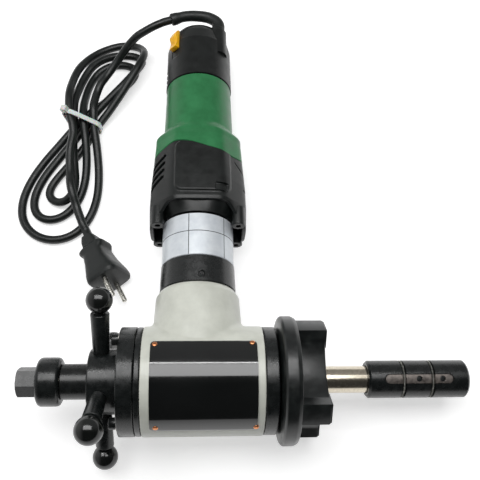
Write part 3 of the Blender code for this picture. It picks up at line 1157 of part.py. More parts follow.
def motor(machine):
    """The motor's shells: the black gear case, the green housing and the rear cap, with the stator inside."""
    inner = CASE_WALL
    seat = ARMATURE_BEARING_RADIUS + SEAT_GAP
    lip = lip_line()
    back = CASE_BULKHEAD + CASE_BULKHEAD_THICKNESS
    seam = seam_line()
    sides = SHELL_SIDES
    case = piece("gear_case", stack([
        case_ring(seam - SEAT_GAP / 2, CASE_SEAM_SHARE), case_ring(CASE_MIDDLE, CASE_MIDDLE_SHARE),
        case_ring(CASE_LIP + SOFT_EDGE + EDGE_BEVEL, 1.0), case_ring(lip + EDGE_BEVEL, CASE_LIP_SHARE),
        case_ring(lip, CASE_LIP_SHARE, EDGE_BEVEL), case_ring(lip, CASE_LIP_SHARE, inner),
        case_ring(CASE_LIP - EDGE_BEVEL, CASE_LIP_SHARE, inner, round_share=0.0),
        circle(CASE_BULKHEAD, GEARBOX_RADIUS + SOFT_EDGE, sides), circle(CASE_BULKHEAD, seat, sides),
        circle(back, seat, sides), circle(back, GEARBOX_RADIUS - SOFT_EDGE, sides),
        case_ring(back + CASE_BULKHEAD_THICKNESS / 2, 1.0, 2 * inner), case_ring(CASE_MIDDLE, CASE_MIDDLE_SHARE, inner),
        case_ring(seam - SEAT_GAP / 2, CASE_SEAM_SHARE, inner)], "y", hollow=True), BLACK_PLASTIC, machine)
    bosses, holes = [], []
    for side in (-1, 1):
        for level in (-1, 1):
            place = (side * CASE_BOSS_ACROSS, level * CASE_BOSS_UP)
            bosses.append(rod((place[0], CASE_BOSS_START, place[1]), (place[0], CASE_LIP + OVERRUN, place[1]),
                              CASE_BOSS_RADIUS, SMALL_SIDES))
            holes.append(rod((place[0], CASE_BOSS_START - OVERRUN, place[1]),
                             (place[0], CASE_LIP, place[1]), CASE_BOSS_SCREW_RADIUS, HOLE_SIDES))
    combine(case, tool("case_bosses", gathered(bosses), machine), "UNION")
    combine(case, tool("case_boss_holes", gathered(holes), machine), "DIFFERENCE")
    vents = []
    for k in range(CASE_VENT_COUNT):
        vent = box((-CASE_HALF_WIDTH - OVERRUN, -CASE_VENT_WIDTH / 2, -CASE_VENT_HEIGHT / 2),
                   (-CASE_HALF_WIDTH + CASE_VENT_DEPTH, CASE_VENT_WIDTH / 2, CASE_VENT_HEIGHT / 2))
        spun(vent, CASE_VENT_LEAN, "x")
        bmesh.ops.translate(vent, verts=vent.verts, vec=(0.0, CASE_VENT_START + k * CASE_VENT_PITCH,
                                                         CASE_VENT_UP))
        vents.append(vent)
    combine(case, tool("case_vents", gathered(vents), machine), "DIFFERENCE")
    waist_inner = MOTOR_REAR_RADIUS - MOTOR_WALL
    piece("motor_housing", stack([
        case_ring(seam + SEAT_GAP / 2, CASE_SEAM_SHARE), case_ring(MOTOR_SHOULDER, MOTOR_SHOULDER_SHARE),
        case_ring(MOTOR_SHOULDER_END, MOTOR_SHOULDER_SHARE, 0.0, MOTOR_RADIUS, MOTOR_BLEND_SHARE),
        circle(MOTOR_WAIST, MOTOR_RADIUS, sides),
        circle(MOTOR_REAR, MOTOR_REAR_RADIUS, sides), circle(MOTOR_REAR, waist_inner, sides),
        circle(MOTOR_WAIST - MOTOR_WALL, waist_inner, sides),
        case_ring(MOTOR_SHOULDER, MOTOR_SHOULDER_SHARE, 2 * MOTOR_WALL),
        case_ring(seam + SEAT_GAP / 2, CASE_SEAM_SHARE, inner)], "y", hollow=True), GREEN_PLASTIC, machine)
    stator_end = ARMATURE_CORE_START + ARMATURE_CORE_LENGTH
    stator_start = MOTOR_WAIST - MOTOR_WALL + SEAT_GAP
    piece("stator", turned([
        (stator_start, waist_inner - SEAT_GAP), (stator_end, waist_inner - SEAT_GAP),
        (stator_end, STATOR_BORE), (stator_start, STATOR_BORE)], "y", hollow=True), BRIGHT_STEEL, machine)
    cap_start = MOTOR_REAR + SEAT_GAP
    cap_inner = REAR_CAP_RADIUS - REAR_CAP_WALL
    web_end = REAR_CAP_WEB + ARMATURE_BEARING_WIDTH + 2 * SEAT_GAP
    outline = [(ARMATURE_END + SOFT_EDGE, 0), (ARMATURE_END + SOFT_EDGE, ARMATURE_SHAFT_RADIUS + SOFT_EDGE),
               (web_end, ARMATURE_SHAFT_RADIUS + SOFT_EDGE), (web_end, seat), (REAR_CAP_WEB, seat),
               (REAR_CAP_WEB, cap_inner), (cap_start, cap_inner), (cap_start, REAR_CAP_RADIUS),
               (REAR_CAP_SHOULDER, REAR_CAP_SHOULDER_RADIUS)]
    for along, radius in REAR_CAP_ROUND_SHARES:
        outline.append((REAR_CAP_SHOULDER + along * (REAR_CAP_END - REAR_CAP_SHOULDER),
                        radius * REAR_CAP_SHOULDER_RADIUS))
    outline.append((REAR_CAP_END, 0))
    cap = piece("rear_cap", turned(outline, "y", sides=sides), BLACK_PLASTIC, machine)
    boss = rod((RELIEF_BOSS_ACROSS, RELIEF_BOSS_START, RELIEF_BOSS_UP),
               (RELIEF_BOSS_ACROSS, RELIEF_BOSS_END, RELIEF_BOSS_UP), RELIEF_BOSS_RADIUS, SMALL_SIDES)
    combine(cap, tool("relief_boss", boss, machine), "UNION")
    seat = rod((RELIEF_BOSS_ACROSS, RELIEF_BOSS_END, RELIEF_BOSS_UP),
               (RELIEF_BOSS_ACROSS, REAR_CAP_END + OVERRUN, RELIEF_BOSS_UP), RELIEF_SEAT_RADIUS, SMALL_SIDES)
    combine(cap, tool("relief_seat", seat, machine), "DIFFERENCE")
    vents = []
    for k in range(REAR_VENT_COUNT):
        start = REAR_VENT_START + k * REAR_VENT_PITCH
        for side in (-1, 1):
            low, high = sorted((side * (REAR_CAP_RADIUS + OVERRUN), side * (cap_inner - OVERRUN)))
            vents.append(box((low, start, -REAR_VENT_HEIGHT / 2), (high, start + REAR_VENT_WIDTH,
                                                                   REAR_VENT_HEIGHT / 2)))
    combine(cap, tool("rear_vents", gathered(vents), machine), "DIFFERENCE")
    slot_start = SWITCH_START + SWITCH_LENGTH / 2 - SWITCH_STEM_LENGTH / 2 - SWITCH_TRAVEL - SEAT_GAP
    slot_end = SWITCH_START + SWITCH_LENGTH / 2 + SWITCH_STEM_LENGTH / 2 + SEAT_GAP
    half = SWITCH_STEM_WIDTH / 2 + SEAT_GAP
    floor = REAR_CAP_SHOULDER_RADIUS - SWITCH_STEM_DEPTH - SEAT_GAP
    slot = box((-half, slot_start, floor), (half, slot_end, REAR_CAP_RADIUS + OVERRUN))
    combine(cap, tool("switch_slot", spun(slot, SWITCH_TURN, "y"), machine), "DIFFERENCE")


def switch_slider(body):
    """The yellow slider, with a raised toe and a stem in the rear cap's slot."""
    low = REAR_CAP_RADIUS + SEAT_GAP
    end = SWITCH_START + SWITCH_LENGTH
    toe = SWITCH_START + SWITCH_LENGTH * SWITCH_TOE_SHARE
    heel = SWITCH_START + SWITCH_LENGTH * (1 - SWITCH_TOE_SHARE)
    side = [(SWITCH_START, low), (end, low), (end, low + SWITCH_LOW), (heel, low + SWITCH_HIGH),
            (toe, low + SWITCH_LOW), (SWITCH_START, low + SWITCH_HIGH)]
    bm = prism([(-SWITCH_WIDTH / 2, y, z) for y, z in side], (SWITCH_WIDTH, 0.0, 0.0))
    slider = piece("switch_slider", spun(bm, SWITCH_TURN, "y"), YELLOW_PLASTIC, body)
    middle = SWITCH_START + SWITCH_LENGTH / 2
    stem = box((-SWITCH_STEM_WIDTH / 2, middle - SWITCH_STEM_LENGTH / 2, REAR_CAP_SHOULDER_RADIUS -
                SWITCH_STEM_DEPTH), (SWITCH_STEM_WIDTH / 2, middle + SWITCH_STEM_LENGTH / 2, low + EDGE_BEVEL))
    combine(slider, tool("switch_stem", spun(stem, SWITCH_TURN, "y"), body), "UNION")


def rest_frame():
    """Return the machine's placing on the floor, leaning on the lowest ball, the cutter's rim and the rear cap."""
    arm_place = -COVER_BACK - HUB_LENGTH - SEAT_GAP + HUB_LENGTH * ARM_PLACE_SHARE
    ball = on_x(arm_place, BALL_REACH, HANDLE_TURN - math.pi / 2)
    rim = CUTTER_BACK + HEAD_RIM_START + HEAD_RIM_WIDTH
    up = Vector((0.0, 0.0, 1.0))
    for _ in range(REST_ROUNDS):
        first = ball - up * BALL_RADIUS
        way = Vector((0.0, -up.y, -up.z)).normalized()
        second = Vector((rim, 0.0, 0.0)) + way * HEAD_RIM_RADIUS
        way = Vector((-up.x, 0.0, -up.z)).normalized()
        third = Vector((0.0, REAR_CAP_SHOULDER, 0.0)) + way * REAR_CAP_SHOULDER_RADIUS
        up = (second - first).cross(third - first).normalized()
        up = up if up.z > 0 else -up
    along = (Vector((1.0, 0.0, 0.0)) - up * up.x).normalized()
    turn = Matrix((along, up.cross(along), up))
    return Matrix.Translation((0.0, 0.0, -up.dot(first))) @ turn.to_4x4()


def smooth_curve(points, count):
    """Return points at even steps along a smooth curve through the given ones."""
    points = np.array(points, dtype=float)
    padded = np.vstack([2 * points[0] - points[1], points, 2 * points[-1] - points[-2]])
    fine = []
    for k in range(len(points) - 1):
        a, b, c, d = padded[k:k + 4]
        for t in np.arange(CURVE_STEPS) / CURVE_STEPS:
            fine.append(0.5 * (2 * b + (c - a) * t + (2 * a - 5 * b + 4 * c - d) * t * t
                               + (3 * b - a - 3 * c + d) * t ** 3))
    fine = np.array(fine + [points[-1]])
    travelled = np.concatenate([[0.0], np.cumsum(np.linalg.norm(np.diff(fine, axis=0), axis=1))])
    steps = np.linspace(0.0, travelled[-1], count)
    return np.stack([np.interp(steps, travelled, fine[:, axis]) for axis in range(3)], 1)


def cord_tube(name, points, material, parent, bevel_steps, radii=None, radius=None):
    """Return a piece of cord as a bevelled curve with filled ends."""
    curve = bpy.data.curves.new(name, "CURVE")
    curve.dimensions = "3D"
    curve.bevel_depth = CORD_RADIUS if radius is None else radius
    curve.bevel_resolution = bevel_steps
    curve.use_fill_caps = True
    spline = curve.splines.new("POLY")
    spline.points.add(len(points) - 1)
    for k, point in enumerate(points):
        spline.points[k].co = (*point, 1.0)
        spline.points[k].radius = 1.0 if radii is None else radii[k]
    curve.materials.append(material)
    obj = bpy.data.objects.new(name, curve)
    obj.parent = parent
    bpy.context.scene.collection.objects.link(obj)
    return obj


def loop_plan():
    """Return the plan of the hank's loops, lower and upper in turn, each point's loop and its way from the waist.

    A half loop goes out from the waist and back: the reach times sin t away from it, and across it a cosine
    between its two places in the waist, plus a sine of 2t that opens the loop and a lean that fades at both ends.
    """
    ahead = np.array((math.cos(WAIST_HEADING), math.sin(WAIST_HEADING)))
    aside = np.array((-ahead[1], ahead[0]))
    points, marks, reaches = [], [], []
    for k in range(2 * LOOP_COUNT):
        lower = k % 2 == 0
        number = k // 2
        reach = LOWER_REACHES[number] if lower else -UPPER_REACHES[number]
        spread = (LOWER_SPREADS if lower else UPPER_SPREADS)[number]
        lean = (LOWER_LEANS if lower else UPPER_LEANS)[number]
        begin, end = WAIST_SHARES[k], WAIST_SHARES[k + 1]
        steps = CORD_POINTS_EACH_LOOP
        for step in range(steps + (1 if k == 2 * LOOP_COUNT - 1 else 0)):
            t = math.pi * step / steps
            across = WAIST_STEP * ((begin + end) / 2 + (begin - end) / 2 * math.cos(t))
            across += spread / 2 * math.sin(2 * t) + lean * math.sin(t) ** 2
            points.append(np.array(WAIST_PLACE) + ahead * reach * math.sin(t) + aside * across)
            marks.append(k)
            reaches.append(abs(reach) * math.sin(t))
    return np.array(points), marks, reaches


def settled(plan, waist_ranks, loop_ranks, in_waist, floor, fixed):
    """Return heights at which the cord lies on the floor and on what it crosses.

    The run is eased and sinks a little, then each place that lies over another run is raised to a full cord's
    distance from it, and so on until both agree. Between two points of the plan the cord is straight. Which of two
    runs lies on top goes by their strands where both are in the waist, and by their loops elsewhere.
    """
    apart = 2 * CORD_RADIUS + CORD_CLEARANCE
    share = np.tile(np.arange(CORD_FINE_STEPS) / CORD_FINE_STEPS, len(plan) - 1)
    start = np.repeat(np.arange(len(plan) - 1), CORD_FINE_STEPS)
    nearest = np.where(share < 0.5, start, start + 1)
    fine = plan[start] * (1 - share)[:, None] + plan[start + 1] * share[:, None]
    gap = np.linalg.norm(fine[:, None] - fine[None], axis=2)
    by_strand = in_waist[nearest][:, None] & in_waist[nearest][None]
    waist, loop = waist_ranks[nearest], loop_ranks[nearest]
    above = np.where(by_strand, waist[:, None] > waist[None], loop[:, None] > loop[None])
    over = above & (gap < apart) & (np.abs(start[:, None] - start[None]) > CORD_NEIGHBOURS)
    rise = np.sqrt(np.maximum(0.0, apart ** 2 - gap ** 2))
    known = ~np.isnan(fixed)
    weight = (1 - share) ** 2 + share ** 2
    height = floor.copy()
    for turn in range(CORD_SETTLE_ROUNDS):
        if turn < CORD_SETTLE_ROUNDS - CORD_LAST_ROUNDS:
            eased = height.copy()
            eased[1:-1] = (height[:-2] + 2 * height[1:-1] + height[2:]) / 4
            height = np.maximum(eased - CORD_SINK_SHARE * CORD_RADIUS, floor)
        height[known] = fixed[known]
        level = height[start] * (1 - share) + height[start + 1] * share
        lack = (np.where(over, level[None] + rise, 0.0).max(axis=1) - level).clip(min=0.0)
        raised = np.zeros_like(height)
        np.maximum.at(raised, start, lack * (1 - share) / weight)
        np.maximum.at(raised, start + 1, lack * share / weight)
        height = height + raised
    height[known] = fixed[known]
    return height


def least_gap(points):
    """Return the least space between runs of a cord that aren't next to each other."""
    share = (np.arange(CORD_FINE_STEPS) / CORD_FINE_STEPS)[None, :, None]
    fine = (points[:-1, None] * (1 - share) + points[1:, None] * share).reshape(-1, 3)
    index = np.repeat(np.arange(len(points) - 1), CORD_FINE_STEPS)
    gap = np.linalg.norm(fine[:, None] - fine[None], axis=2)
    gap[np.abs(index[:, None] - index[None]) <= CORD_NEIGHBOURS] = np.inf
    return gap.min() - 2 * CORD_RADIUS


def cut_between(points, k, side):
    """Return the middle of a cord's straight run after point k, drawn back by half a gap to one side."""
    way = points[k + 1] - points[k]
    way = way / np.linalg.norm(way)
    return (points[k] + points[k + 1]) / 2 + way * side * SEAT_GAP / 2


def plug_frame():
    """Return the plug's neck, its way forward, its way across and its own upright, lying on the floor."""
    neck, front = np.array(PLUG_NECK), np.array(PLUG_FRONT)
    ahead = (front - neck) / np.linalg.norm(front - neck)
    across = np.cross(ahead, (0.0, 0.0, 1.0))
    across = across / np.linalg.norm(across)
    upright = np.cross(across, ahead)
    rolled = across * math.cos(PLUG_ROLL) - upright * math.sin(PLUG_ROLL)
    upright = upright * math.cos(PLUG_ROLL) + across * math.sin(PLUG_ROLL)
    return neck, front, rolled, upright


def plug_rings():
    """Return the rings of the plug's body, rounded rectangles from its neck to its front, lifted off the floor."""
    neck, front, across, upright = plug_frame()
    angles = np.arange(PLUG_SIDES) * 2 * math.pi / PLUG_SIDES
    wide = np.sign(np.cos(angles)) * np.abs(np.cos(angles)) ** (2 / PLUG_POWER_SHARE)
    high = np.sign(np.sin(angles)) * np.abs(np.sin(angles)) ** (2 / PLUG_POWER_SHARE)
    rings = []
    for along, width, height in PLUG_SHARES:
        centre = neck + (front - neck) * along
        rings.append(centre + np.outer(wide * width * PLUG_HALF_WIDTH, across)
                     + np.outer(high * height * PLUG_HALF_HEIGHT, upright))
    lift = CORD_LAY_GAP - min(ring[:, 2].min() for ring in rings)
    return [ring + np.array((0.0, 0.0, lift)) for ring in rings], lift


def plug(ground):
    """The moulded plug, with finger stops near its neck, and two round pins."""
    rings, lift = plug_rings()
    bm = bmesh.new()
    loops = [[bm.verts.new(point) for point in ring] for ring in rings]
    for first, second in zip(loops, loops[1:]):
        zip_rings(bm, first, second, None, None)
    bm.faces.new(loops[0])
    bm.faces.new(loops[-1])
    body = piece("plug_body", bm, BLACK_PLASTIC, ground)
    neck, front, across, upright = plug_frame()
    ahead = (front - neck) / np.linalg.norm(front - neck)
    front = front + np.array((0.0, 0.0, lift))
    for k, side in enumerate((1, -1)):
        root = front + upright * side * PIN_SPACING / 2
        hole = rod(root - ahead * PIN_SEAT_DEPTH, root + ahead * OVERRUN, PIN_RADIUS + SEAT_GAP, PLUG_PIN_SIDES)
        combine(body, tool(f"pin_seat_{k + 1}", hole, ground), "DIFFERENCE")
        start = root - ahead * (PIN_SEAT_DEPTH - SEAT_GAP)
        tip = root + ahead * PIN_LENGTH
        pin = rod(start, tip, PIN_RADIUS, PLUG_PIN_SIDES)
        soften(piece(f"plug_pin_{k + 1}", pin, NICKEL_STEEL, ground), EDGE_BEVEL / 2, angle=PIN_SHARP_ANGLE)


def tie_band(ground, strands, ahead, aside):
    """The cable tie, a strap round the hull of the strands in the waist, with its square head on top."""
    centre = np.array((*WAIST_PLACE, 0.0))
    along, side = np.array((*ahead, 0.0)), np.array((*aside, 0.0))
    angles = np.arange(TIE_STEPS) * 2 * math.pi / TIE_STEPS
    places = np.stack([(strands - centre) @ side, strands[:, 2]], 1)
    normals = np.stack([np.cos(angles), np.sin(angles)], 1)
    reach = (places @ normals.T).max(axis=0) + CORD_RADIUS + TIE_GAP
    rings = []
    for thick, shift in ((0, -1), (1, -1), (1, 1), (0, 1)):
        far = reach + thick * TIE_THICKNESS
        turn = 2 * math.pi / TIE_STEPS
        step = (np.roll(far, -1) - far * math.cos(turn)) / math.sin(turn)
        corners = normals * far[:, None] + np.stack([-normals[:, 1], normals[:, 0]], 1) * step[:, None]
        rings.append(centre + np.outer(corners[:, 0], side) + np.outer(corners[:, 1], (0, 0, 1))
                     + along * shift * TIE_WIDTH / 2)
    bm = bmesh.new()
    loops = [[bm.verts.new(point) for point in ring] for ring in rings]
    for k in range(TIE_CORNERS):
        zip_rings(bm, loops[k - 1], loops[k], None, None)
    band = piece("cable_tie", bm, TIE_WHITE, ground)
    top = places @ normals[TIE_HEAD_STEP]
    reach_out = top.max() + CORD_RADIUS + TIE_GAP
    head = box((-TIE_HEAD_SIZE / 2, -TIE_HEAD_SIZE / 2, TIE_THICKNESS / 2),
               (TIE_HEAD_SIZE / 2, TIE_HEAD_SIZE / 2, TIE_THICKNESS / 2 + TIE_HEAD_SIZE))
    normal = side * normals[TIE_HEAD_STEP][0] + np.array((0, 0, 1)) * normals[TIE_HEAD_STEP][1]
    at = places[top.argmax()]
    middle = centre + side * at[0] + np.array((0, 0, at[1])) + normal * (reach_out - top.max())
    frame = Matrix((along, np.cross(normal, along), normal)).transposed().to_4x4()
    bmesh.ops.transform(head, matrix=Matrix.Translation(middle) @ frame, verts=head.verts)
    combine(band, tool("tie_head", head, ground), "UNION")


def cord(ground, placing):
    """The cord: strain relief, lead down to the hank, the tied hank of figure-eight loops, and the tail."""
    exit_place = placing @ Vector((RELIEF_BOSS_ACROSS, RELIEF_BOSS_END + SEAT_GAP, RELIEF_BOSS_UP))
    away = placing.to_3x3() @ Vector((0.0, 1.0, 0.0))
    route = [exit_place, exit_place + away * RELIEF_ROOT_LENGTH] + [Vector(point) for point in RELIEF_ROUTE]
    relief = smooth_curve([tuple(point) for point in route], RELIEF_POINTS)
    travelled = np.linspace(0.0, 1.0, RELIEF_POINTS)
    radii = RELIEF_START_RADIUS + (RELIEF_END_RADIUS - RELIEF_START_RADIUS) * travelled
    radii[:2] = RELIEF_ROOT_RADIUS
    radii[-2:] = RELIEF_COLLAR_RADIUS
    cord_tube("strain_relief", relief, BLACK_RUBBER, ground, CORD_BEVEL_STEPS, radii / RELIEF_ROOT_RADIUS,
              RELIEF_ROOT_RADIUS)

    ahead = np.array((math.cos(WAIST_HEADING), math.sin(WAIST_HEADING)))
    aside = np.array((-ahead[1], ahead[0]))
    loops, marks, reach = loop_plan()
    way = (relief[-1] - relief[-2]) / np.linalg.norm(relief[-1] - relief[-2])
    leave = relief[-1] + way * SEAT_GAP
    rings, lift = plug_rings()
    neck = np.array(PLUG_NECK) + np.array((0.0, 0.0, lift))
    front = np.array(PLUG_FRONT) + np.array((0.0, 0.0, lift))
    into = (front - neck) / np.linalg.norm(front - neck)
    straight = leave + way * CORD_RADIUS * 2
    route = [tuple(straight)] + list(LEAD_ROUTE) + [(*loops[0], 0.0)]
    lead = np.vstack([leave, smooth_curve(route, LEAD_POINTS)[:-1]])
    stop = neck - into * SEAT_GAP
    straight = stop - into * CORD_RADIUS * 2
    route = [(*loops[-1], 0.0)] + [(*point, 0.0) for point in TAIL_ROUTE] + [tuple(straight)]
    tail = np.vstack([smooth_curve(route, TAIL_POINTS)[1:], stop])
    plan = np.vstack([lead[:, :2], loops, tail[:, :2]])
    by_strand, by_loop, in_waist = strand_ranks(marks, reach)
    waist_ranks = np.array([LEAD_RANK] * len(lead) + by_strand + [TAIL_RANK] * len(tail))
    loop_ranks = np.array([LEAD_RANK] * len(lead) + by_loop + [TAIL_RANK] * len(tail))
    in_waist = np.array([True] * len(lead) + in_waist + [True] * len(tail))
    fixed = np.full(len(plan), np.nan)
    fixed[:LEAD_HELD_POINTS] = lead[:LEAD_HELD_POINTS, 2]
    fixed[-TAIL_HELD_POINTS:] = tail[-TAIL_HELD_POINTS:, 2]
    from_waist = np.linalg.norm(plan - np.array(WAIST_PLACE), axis=1)
    floor = CORD_RADIUS + CORD_LAY_GAP + np.where(from_waist < WAIST_LIFT_REACH, TIE_THICKNESS + 2 * TIE_GAP, 0.0)
    points = np.column_stack([plan, settled(plan, waist_ranks, loop_ranks, in_waist, floor, fixed)])
    print("least gap of the cord to itself", round(least_gap(points) / MILLIMETRE, 2), "mm")
    first, last = len(lead) - HANK_EARLY_POINTS, len(lead) + len(loops) + HANK_EARLY_POINTS
    pieces = (("cord_lead", np.vstack([points[:first + 1], cut_between(points, first, -1)]), CORD_TUBE_STEPS),
              ("cord_hank", np.vstack([cut_between(points, first, 1), points[first + 1:last + 1],
                                       cut_between(points, last, -1)]), CORD_BEVEL_STEPS),
              ("cord_tail", np.vstack([cut_between(points, last, 1), points[last + 1:]]), CORD_TUBE_STEPS))
    for name, run, steps in pieces:
        cord_tube(name, run, BLACK_RUBBER, ground, steps)
        print(name, round(np.linalg.norm(np.diff(run, axis=0), axis=1).sum(), 3), "m")
    strands = []
    for k in range(len(points) - 1):
        a, b = (points[k, :2] - WAIST_PLACE) @ ahead, (points[k + 1, :2] - WAIST_PLACE) @ ahead
        for level in (-TIE_WIDTH / 2, 0.0, TIE_WIDTH / 2):
            if min(a, b) <= level <= max(a, b) and a != b:
                place = points[k] + (points[k + 1] - points[k]) * (level - a) / (b - a)
                if np.linalg.norm(place[:2] - WAIST_PLACE) < WAIST_LIFT_REACH * 2:
                    strands.append(place)
    tie_band(ground, np.array(strands), ahead, aside)


def strand_ranks(marks, reach):
    """Return each point's rank by its strand in the waist and by its loop, and whether it is in the waist."""
    by_strand, by_loop = [], []
    for k, mark in enumerate(marks):
        going_out = k + 1 < len(marks) and reach[k + 1] > reach[k]
        by_strand.append(WAIST_RANKS[mark if going_out else mark + 1])
        by_loop.append(LOOP_RANKS[mark])
    return by_strand, by_loop, [way < WAIST_RANK_REACH for way in reach]


def lowest_and_middle(objects):
    """Return the lowest height of some objects, and the middle of their box seen from above."""
    bpy.context.view_layer.update()
    graph = bpy.context.evaluated_depsgraph_get()
    low, high = np.full(3, np.inf), np.full(3, -np.inf)
    for obj in objects:
        shape = obj.evaluated_get(graph)
        mesh = shape.to_mesh()
        places = np.array([shape.matrix_world @ vertex.co for vertex in mesh.vertices])
        shape.to_mesh_clear()
        low, high = np.minimum(low, places.min(axis=0)), np.maximum(high, places.max(axis=0))
    return low[2], (low + high) / 2


for leftover in list(bpy.data.objects):
    bpy.data.objects.remove(leftover)

CAST_GREY = finish("cast grey", (0.58, 0.6, 0.53), 0.4, 0.3)
BLACK_STEEL = finish("blackened steel", (0.017, 0.02, 0.02), 0.42, 0.8)
BRIGHT_STEEL = finish("bright steel", (0.5, 0.5, 0.48), 0.3, 1.0)
NICKEL_STEEL = finish("nickelled steel", (0.48, 0.44, 0.36), 0.3, 1.0)
DARK_STEEL = finish("hardened steel", (0.16, 0.13, 0.12), 0.45, 0.9)
BLACK_GLOSS = finish("gloss black", (0.005, 0.006, 0.006), 0.12)
BLACK_PLASTIC = finish("black plastic", (0.013, 0.017, 0.016), 0.5)
BLACK_RUBBER = finish("black rubber", (0.012, 0.014, 0.014), 0.6)
GREEN_PLASTIC = finish("green plastic", (0.025, 0.175, 0.06), 0.4)
YELLOW_PLASTIC = finish("yellow plastic", (0.91, 0.48, 0.004), 0.45)
LABEL_SILVER = finish("silver label", (0.67, 0.71, 0.74), 0.35)
TIE_WHITE = finish("white nylon", (0.72, 0.75, 0.7), 0.5)

stand = empty("stand")
machine_frame = empty("machine", stand)
ground_frame = empty("ground", stand)
cutter_frame = empty("cutter", machine_frame)
mandrel_frame = empty("mandrel", machine_frame)
handle_frame = empty("handle", machine_frame)
output_frame = empty("output", machine_frame)
rotor_frame = empty("rotor", machine_frame)
bolt_frame = empty("draw_bolt_axis", mandrel_frame)
rod_frame = empty("draw_rod_axis", mandrel_frame)
slider_frame = empty("switch_axis", machine_frame)
jaw_frames = [empty(f"jaw_axis_{k + 1}", mandrel_frame) for k in range(JAW_COUNT)]
planet_frames = [empty(f"planet_axis_{k + 1}", output_frame) for k in range(PLANET_COUNT)]

gear_housing(machine_frame)
rear_cover(machine_frame)
front_bearing_cap(machine_frame)
bearings(machine_frame)
spindle(cutter_frame)
crown_gear(cutter_frame)
cutter_head(cutter_frame)
nameplate(machine_frame)
mandrel(mandrel_frame, bolt_frame, rod_frame)
jaws(jaw_frames)
handle(handle_frame)
gear_train(machine_frame, output_frame, planet_frames)
armature(rotor_frame)
motor(machine_frame)
switch_slider(slider_frame)

machine_frame.matrix_local = rest_frame()
solids = [obj for obj in bpy.data.objects if obj.type == "MESH" and not obj.hide_render]
lowest, middle = lowest_and_middle(solids)
machine_frame.matrix_local = Matrix.Translation((0.0, 0.0, -lowest)) @ machine_frame.matrix_local
cord(ground_frame, machine_frame.matrix_local.copy())
plug(ground_frame)
stand.location = (-middle[0], -middle[1], 0.0)
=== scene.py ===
import json
import math

import bmesh
import bpy
import numpy as np
from mathutils import Matrix


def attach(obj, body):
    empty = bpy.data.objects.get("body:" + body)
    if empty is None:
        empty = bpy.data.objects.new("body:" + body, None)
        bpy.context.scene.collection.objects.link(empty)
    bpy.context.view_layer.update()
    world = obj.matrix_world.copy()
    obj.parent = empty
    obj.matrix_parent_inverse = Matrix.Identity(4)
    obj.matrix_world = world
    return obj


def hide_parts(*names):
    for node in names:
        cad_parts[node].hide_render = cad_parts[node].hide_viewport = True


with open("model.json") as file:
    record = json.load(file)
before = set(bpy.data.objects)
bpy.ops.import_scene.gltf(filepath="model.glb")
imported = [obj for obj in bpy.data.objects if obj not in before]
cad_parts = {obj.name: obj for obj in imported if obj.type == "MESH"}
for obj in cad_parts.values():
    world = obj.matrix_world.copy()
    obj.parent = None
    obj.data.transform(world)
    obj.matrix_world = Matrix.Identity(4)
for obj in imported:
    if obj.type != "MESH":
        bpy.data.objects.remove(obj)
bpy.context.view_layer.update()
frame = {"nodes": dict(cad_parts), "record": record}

# The camera, solved from the photograph: nearly above the housing and looking back along the motor.
CAMERA_PLACE = (0.00799, -0.212307, 0.53418)
CAMERA_RIGHT = (0.9994, -0.0182, -0.0283)
CAMERA_UP = (0.0272, 0.9315, 0.3628)
CAMERA_LENS = 48.81


def unit(way):
    """The same way, or each of several, with a length of 1."""
    way = np.asarray(way, dtype=float)
    return way / np.linalg.norm(way, axis=-1, keepdims=True)


def turned_to(place, right, up):
    """A placing whose X goes right and whose Z looks back at the viewer."""
    back, right = unit(np.cross(right, up)), unit(right)
    turned = Matrix(np.stack([right, np.cross(back, right), back], 1).tolist())
    return Matrix.Translation(place) @ turned.to_4x4()


camera = bpy.data.objects.new("camera", bpy.data.cameras.new("camera"))
camera.data.lens = CAMERA_LENS
camera.matrix_world = turned_to(CAMERA_PLACE, CAMERA_RIGHT, CAMERA_UP)
bpy.context.scene.collection.objects.link(camera)
bpy.context.scene.camera = camera
bpy.context.scene.view_settings.view_transform = "Standard"

# The studio: a white floor, a long soft box over the machine and a little behind it, with a bright tube at
# its far edge, and a room that is pale behind the machine and at its left and dark on the viewer's side.
FLOOR_REACH = 2.5
FLOOR_COLOUR = (0.8, 0.8, 0.8, 1.0)
FLOOR_SEEN = 0.55
SKY_FRONT = 0.06
SKY_BACK = 0.40
SKY_TURN = (-0.30, 0.45)
SKY_LEFT = 0.60
SKY_LEFT_TURN = (-0.35, -0.95)
SOFT_BOXES = (
    ("overhead_box", (-0.02, 0.06, 0.97), (1.05, 0.40), 6.2),
    ("bright_tube", (-0.02, 0.285, 0.92), (1.05, 0.02), 1.8),
)


def add_node(tree, kind, inputs=None, **settings):
    """Adds a node of a kind, with its settings, and with each input linked to a socket or given a value."""
    made = tree.nodes.new(kind)
    for name, value in settings.items():
        setattr(made, name, value)
    for socket, value in (inputs or {}).items():
        if isinstance(value, bpy.types.NodeSocket):
            tree.links.new(value, made.inputs[socket])
        else:
            made.inputs[socket].default_value = value
    return made


